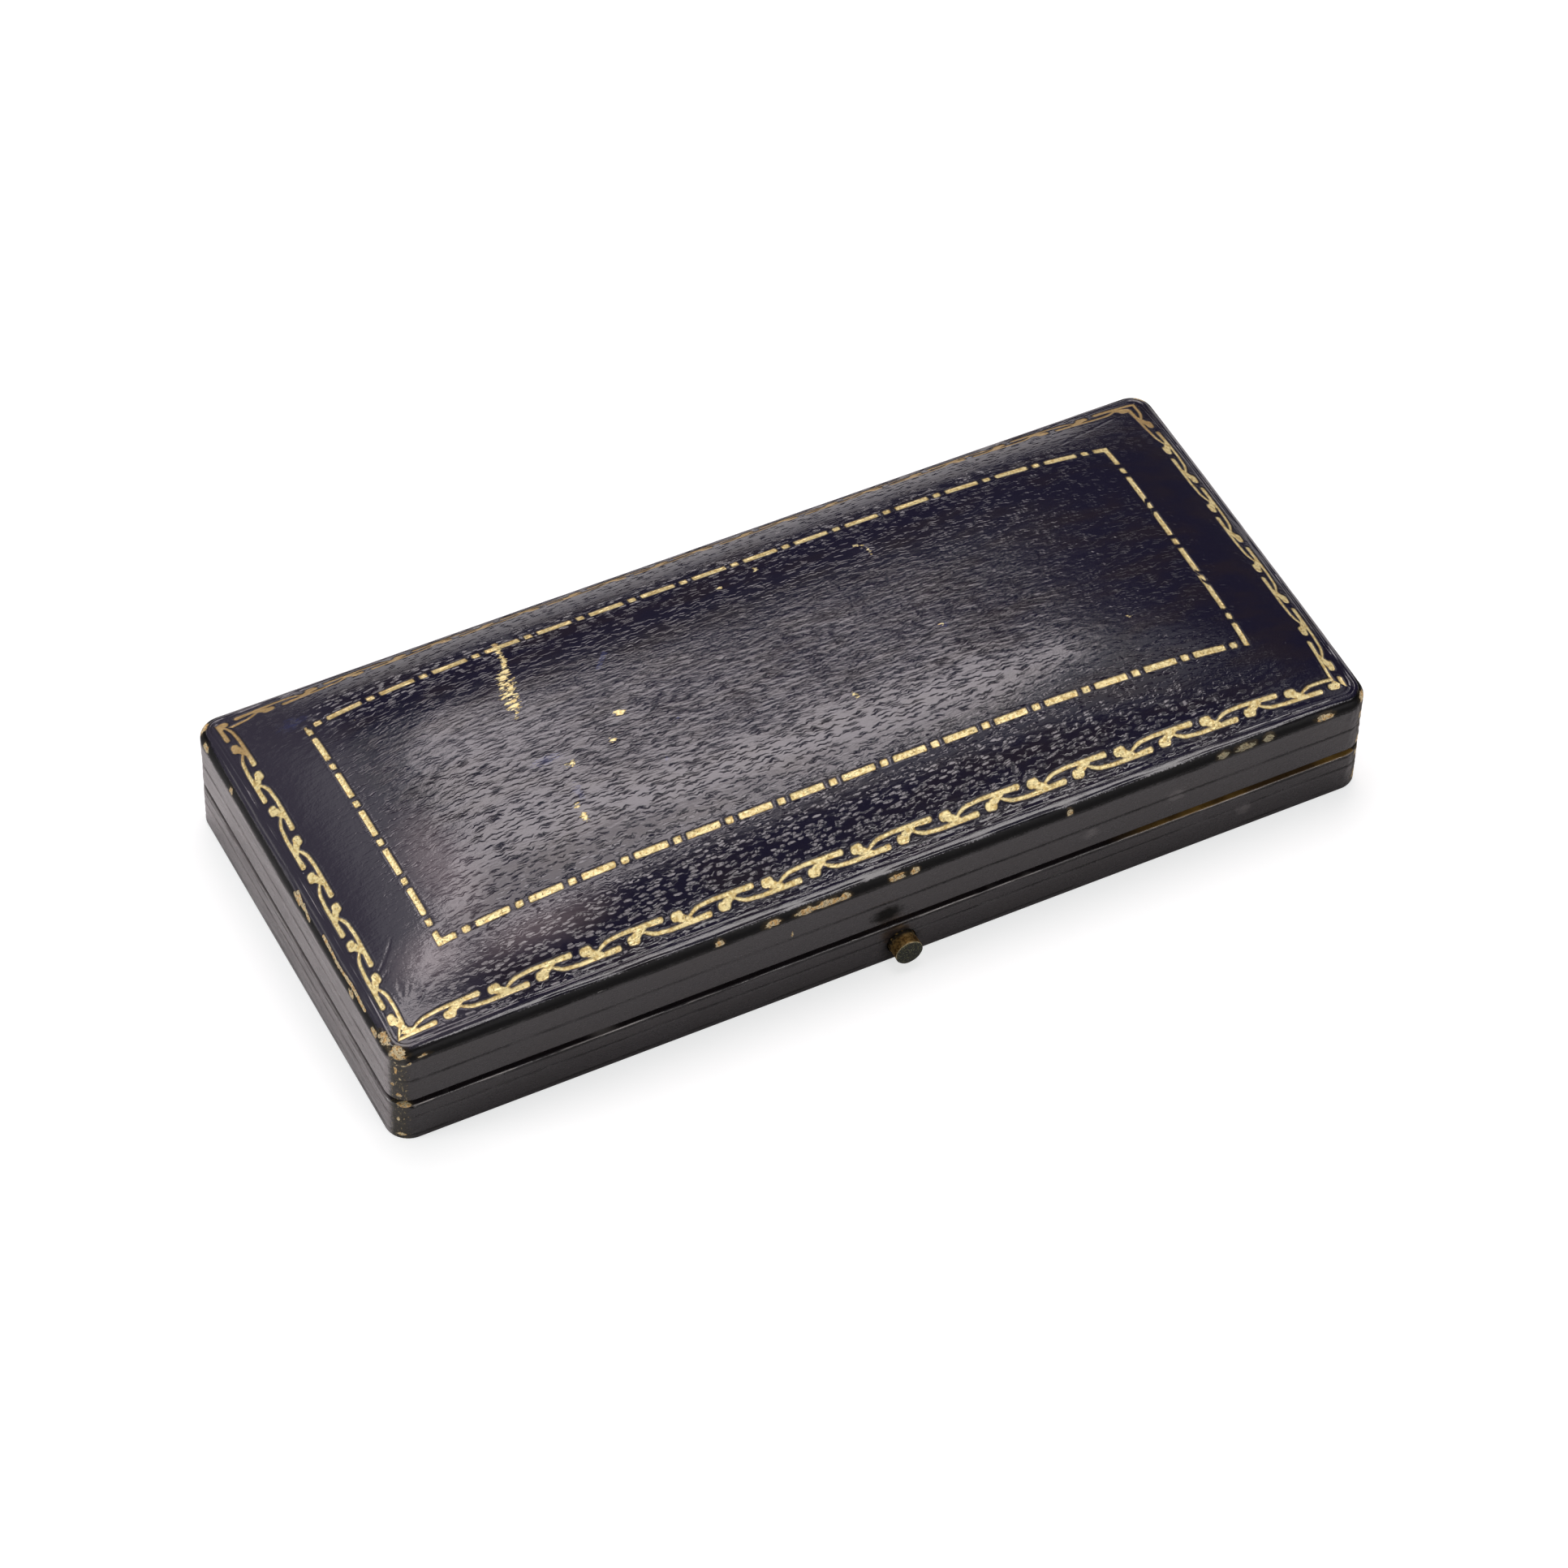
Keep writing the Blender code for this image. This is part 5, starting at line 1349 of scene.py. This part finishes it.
def gold_paper_finish():
    material, shader, place = start_material("gold_paper")
    x, y, z = (place.part(index) for index in range(3))
    along = x + y
    check = wave(along + z, CHECK_PITCH).most(wave(along - z, CHECK_PITCH))
    cloud = place.noise(2.4, 4.0, 0.6)
    rub = place.noise(0.7, 3.0, 0.65).above(0.56, 0.68)
    tone = cloud.above(0.4, 0.65).tint((0.50, 0.33, 0.11), (0.24, 0.14, 0.05))
    tone = tone.blend((0.11, 0.065, 0.035), rub)
    feed(shader, Base_Color=tone, Metallic=(1 - rub) * 0.55, Roughness=cloud * 0.2 + rub * 0.2 + 0.34,
         Normal=relief(check * 0.018 + cloud * 0.03))
    return material


dress(["inner_collar", "lid_lining"], gold_paper_finish())
print("gold paper on:", ["inner_collar", "lid_lining"])

# %% [markdown]
# The pads are soft, so they aren't left as blocks. Each starts from the space that its CAD solid
# fills, is remeshed into even small faces and shrunk a little, and then a cloth simulation blows it
# up. Cloth is simulated at twenty times the size, because its settings suit pieces of a metre. A
# soft limit keeps each point near its start, so the pad stays clear of its neighbours. The face that
# is glued to its board is held still.

# %% Puffed pads
SOFT_SCALE, PRESSURE, FRAMES, GLUE_DEPTH = 20.0, 4.0, 20, 0.3


def write_points(mesh, points):
    mesh.vertices.foreach_set("co", points.ravel())
    mesh.update()


def blow_up(item, held):
    """Runs the cloth and gives the points that it ends with."""
    group = item.vertex_groups.new(name="held")
    group.add([int(index) for index in np.nonzero(held)[0]], 1.0, "REPLACE")
    cloth = item.modifiers.new("cloth", "CLOTH")
    settings = cloth.settings
    settings.quality, settings.mass = 5, 0.3
    settings.tension_stiffness = settings.compression_stiffness = 12
    settings.shear_stiffness, settings.bending_stiffness = 4, 0.6
    settings.use_pressure, settings.uniform_pressure_force = True, PRESSURE
    settings.effector_weights.gravity = 0
    settings.vertex_group_mass = "held"
    cloth.point_cache.frame_start, cloth.point_cache.frame_end = 1, FRAMES
    for step in range(1, FRAMES + 1):
        scene.frame_set(step)
    puffed = item.evaluated_get(bpy.context.evaluated_depsgraph_get()).to_mesh()
    points = read_numbers(puffed)
    item.to_mesh_clear()
    item.modifiers.clear()
    item.vertex_groups.clear()
    scene.frame_set(1)
    return points


def make_pad(node, name, body, voxel, shrink, limit, glued_up, shape_more=None):
    """A puffed pad: voxel is the size of its faces, limit is how far a point may move, all in mm."""
    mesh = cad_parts[node].data.copy()
    mesh.name = name
    item = add_object(name, mesh)
    unit = MM * SOFT_SCALE
    mesh.transform(Matrix.Scale(SOFT_SCALE, 4))
    remesh = item.modifiers.new("even", "REMESH")
    remesh.mode, remesh.voxel_size = "VOXEL", voxel * MM * SOFT_SCALE
    settled(item)
    start = read_numbers(item.data) - read_numbers(item.data, "normal") * shrink * unit
    write_points(item.data, start)
    z = start[:, 2]
    glued = z > z.max() - GLUE_DEPTH * unit if glued_up else z < z.min() + GLUE_DEPTH * unit
    move = blow_up(item, glued) - start
    far, most = np.linalg.norm(move, axis=1, keepdims=True), limit * unit
    write_points(item.data, start + move * (most * np.tanh(far / most) / np.maximum(far, 1e-9)))
    item.data.transform(Matrix.Scale(1 / SOFT_SCALE, 4))
    smoother = item.modifiers.new("finer", "SUBSURF")
    smoother.levels = smoother.render_levels = 1
    settled(item)
    if shape_more:
        points, normals = read_numbers(item.data) / MM, read_numbers(item.data, "normal")
        write_points(item.data, (points + normals * shape_more(points, normals)[:, None]) * MM)
    finish_shading(item, 60)
    item.data.materials.clear()
    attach(item, body)
    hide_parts(node)
    print(name, "faces:", len(item.data.polygons))
    return item


def velvet_dents(points, normals):
    """Old velvet is crushed in places."""
    return 0.05 * swell(points, (7, 7, 7), 31) * (points[:, 2] > 4.5) - 0.03


def satin_pleats(points, normals):
    """Small pleats where the satin is drawn over the edge of its board, and a few slack folds."""
    x, y = points[:, 0], points[:, 1]
    gap_x, gap_y = HALF_X - 4.15 - np.abs(x), HALF_Y - 4.15 - np.abs(y)
    along = np.where(gap_x < gap_y, y, x)
    edge = smooth(-np.minimum(gap_x, gap_y), -6.5, -0.5)
    bend = 0.9 * swell(points, (9, 9, 9), 33)
    pleat = np.cos(math.tau * along / 1.9 + bend * 2.2) * (0.6 + 0.4 * swell(points, (6, 6, 6), 34))
    under = smooth(-normals[:, 2], 0.2, 0.8)
    return under * (0.15 * edge * pleat + 0.09 * swell(points, (16, 12, 9), 35) - 0.08 - 0.1 * edge)


velvet_pad = make_pad("cufflink_pad", "velvet_pad", "base", 0.75, 0.28, 0.32, False,
                      velvet_dents)
satin_pad = make_pad("lid_satin_pad", "satin_pad", "lid", 0.62, 0.16, 0.24, True,
                     satin_pleats)
wadding = make_pad("lid_cushion", "wadding_layer", "lid", 1.6, 0.3, 0.22, False)

# %% [markdown]
# Velvet looks dark from above and pale along its edges, because light catches the tips of its pile:
# the shader's sheen does that. Satin is the opposite, smooth and shiny along its threads, and it has
# gone the colour of weak tea at its edges. Wadding is a tangle of fibres with no weave.

# %% Velvet, satin and wadding
def velvet_finish():
    material, shader, place = start_material("pad_velvet")
    pile = place.noise(0.14, 3.0, 0.7)
    crush = place.noise(4.5, 3.0, 0.6)
    bald = place.noise(1.6, 4.0, 0.7).above(0.63, 0.7)
    tone = crush.above(0.3, 0.75).tint((0.008, 0.010, 0.045), (0.022, 0.028, 0.105))
    tone = tone.blend((0.005, 0.006, 0.03), pile.above(0.52, 0.66) * 0.7)
    tone = tone.blend((0.10, 0.10, 0.17), bald * 0.35)
    feed(shader, Base_Color=tone, Roughness=crush * 0.15 + 0.75, Normal=relief(pile * 0.09 + crush * 0.05),
         Sheen_Weight=0.5, Sheen_Roughness=0.35, Sheen_Tint=(0.45, 0.5, 0.95), Specular_IOR_Level=0.2)
    return material


def satin_finish():
    material, shader, place = start_material("lid_satin")
    threads = place.noise((5, 0.11, 0.11), 2.0, 0.6)
    slub = place.noise((8, 0.5, 0.5), 3.0, 0.6)
    edge = (place.part(0).size() - 52).above(0, 9).most((place.part(1).size() - 16).above(0, 9))
    stain = place.noise(7.0, 4.0, 0.65)
    tone = (stain.above(0.35, 0.75) * 0.6).tint((0.62, 0.54, 0.40), (0.52, 0.43, 0.29))
    tone = tone.blend((0.40, 0.29, 0.16), edge * stain.above(0.3, 0.7) * 0.7)
    tone = tone.blend((0.70, 0.63, 0.49), threads.above(0.5, 0.7) * 0.4)
    feed(shader, Base_Color=tone, Roughness=slub * 0.16 + 0.30, Sheen_Weight=0.15, Anisotropic=0.4,
         Normal=relief(threads * 0.012 + slub * 0.02))
    return material


def wadding_finish():
    material, shader, place = start_material("wadding")
    fibre = place.noise(0.5, 5.0, 0.75, 1.5)
    clump = place.noise(3.0, 3.0, 0.6)
    tone = fibre.above(0.4, 0.65).tint((0.80, 0.77, 0.68), (0.62, 0.57, 0.46))
    tone = tone.blend((0.70, 0.66, 0.56), clump)
    feed(shader, Base_Color=tone, Roughness=clump * 0.1 + 0.88, Normal=relief(fibre * 0.22 + clump * 0.2),
         Sheen_Weight=0.3)
    return material


for pad, finish in ((velvet_pad, velvet_finish), (satin_pad, satin_finish), (wadding, wadding_finish)):
    pad.data.materials.append(finish())
    print(pad.name, "is finished with", pad.data.materials[0].name)

# %% [markdown]
# The underside is closed with a piece of bookcloth that hides the leather's turned-in edge. It was
# cut to size and glued flat, so it is one thin sheet with a slightly soft, uneven edge.

# %% Underside cloth
CLOTH_INSET, CLOTH_LOW, CLOTH_HIGH = 6.8, 0.05, 0.43
# Rings of the cloth, as insets and heights, from the middle of its underside round to that of its top
CLOTH_ROWS = ((28.0, 0.06), (24.0, CLOTH_LOW), (16.0, CLOTH_LOW), (CLOTH_INSET + 1.5, CLOTH_LOW),
              (CLOTH_INSET + 0.4, CLOTH_LOW), (CLOTH_INSET + 0.12, 0.08), (CLOTH_INSET + 0.04, 0.16),
              (CLOTH_INSET + 0.04, 0.32), (CLOTH_INSET + 0.12, CLOTH_HIGH), (16.0, CLOTH_HIGH),
              (28.0, CLOTH_HIGH))


def make_underside():
    rows = Skin()
    for inset, level in CLOTH_ROWS:
        points = flat_ring(inset, level, 4, 1.0)
        points[:, 2] += 0.03 * swell(points, (5, 5, 5), 41) * (level < 0.3)
        row = rows.add(points)
        if inset == 28.0:
            rows.cap(row, 4, level == CLOTH_HIGH)
    mesh = rows.mesh("underside_cloth")
    shape = bmesh.new()
    shape.from_mesh(mesh)
    print("open edges of the cloth:", write_shape(shape, mesh))
    mesh.materials.append(bpy.data.materials["underside_cloth"])
    item = finish_shading(add_object("underside_cloth", mesh), 60)
    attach(item, "base")
    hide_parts("underside_sheet")


make_underside()
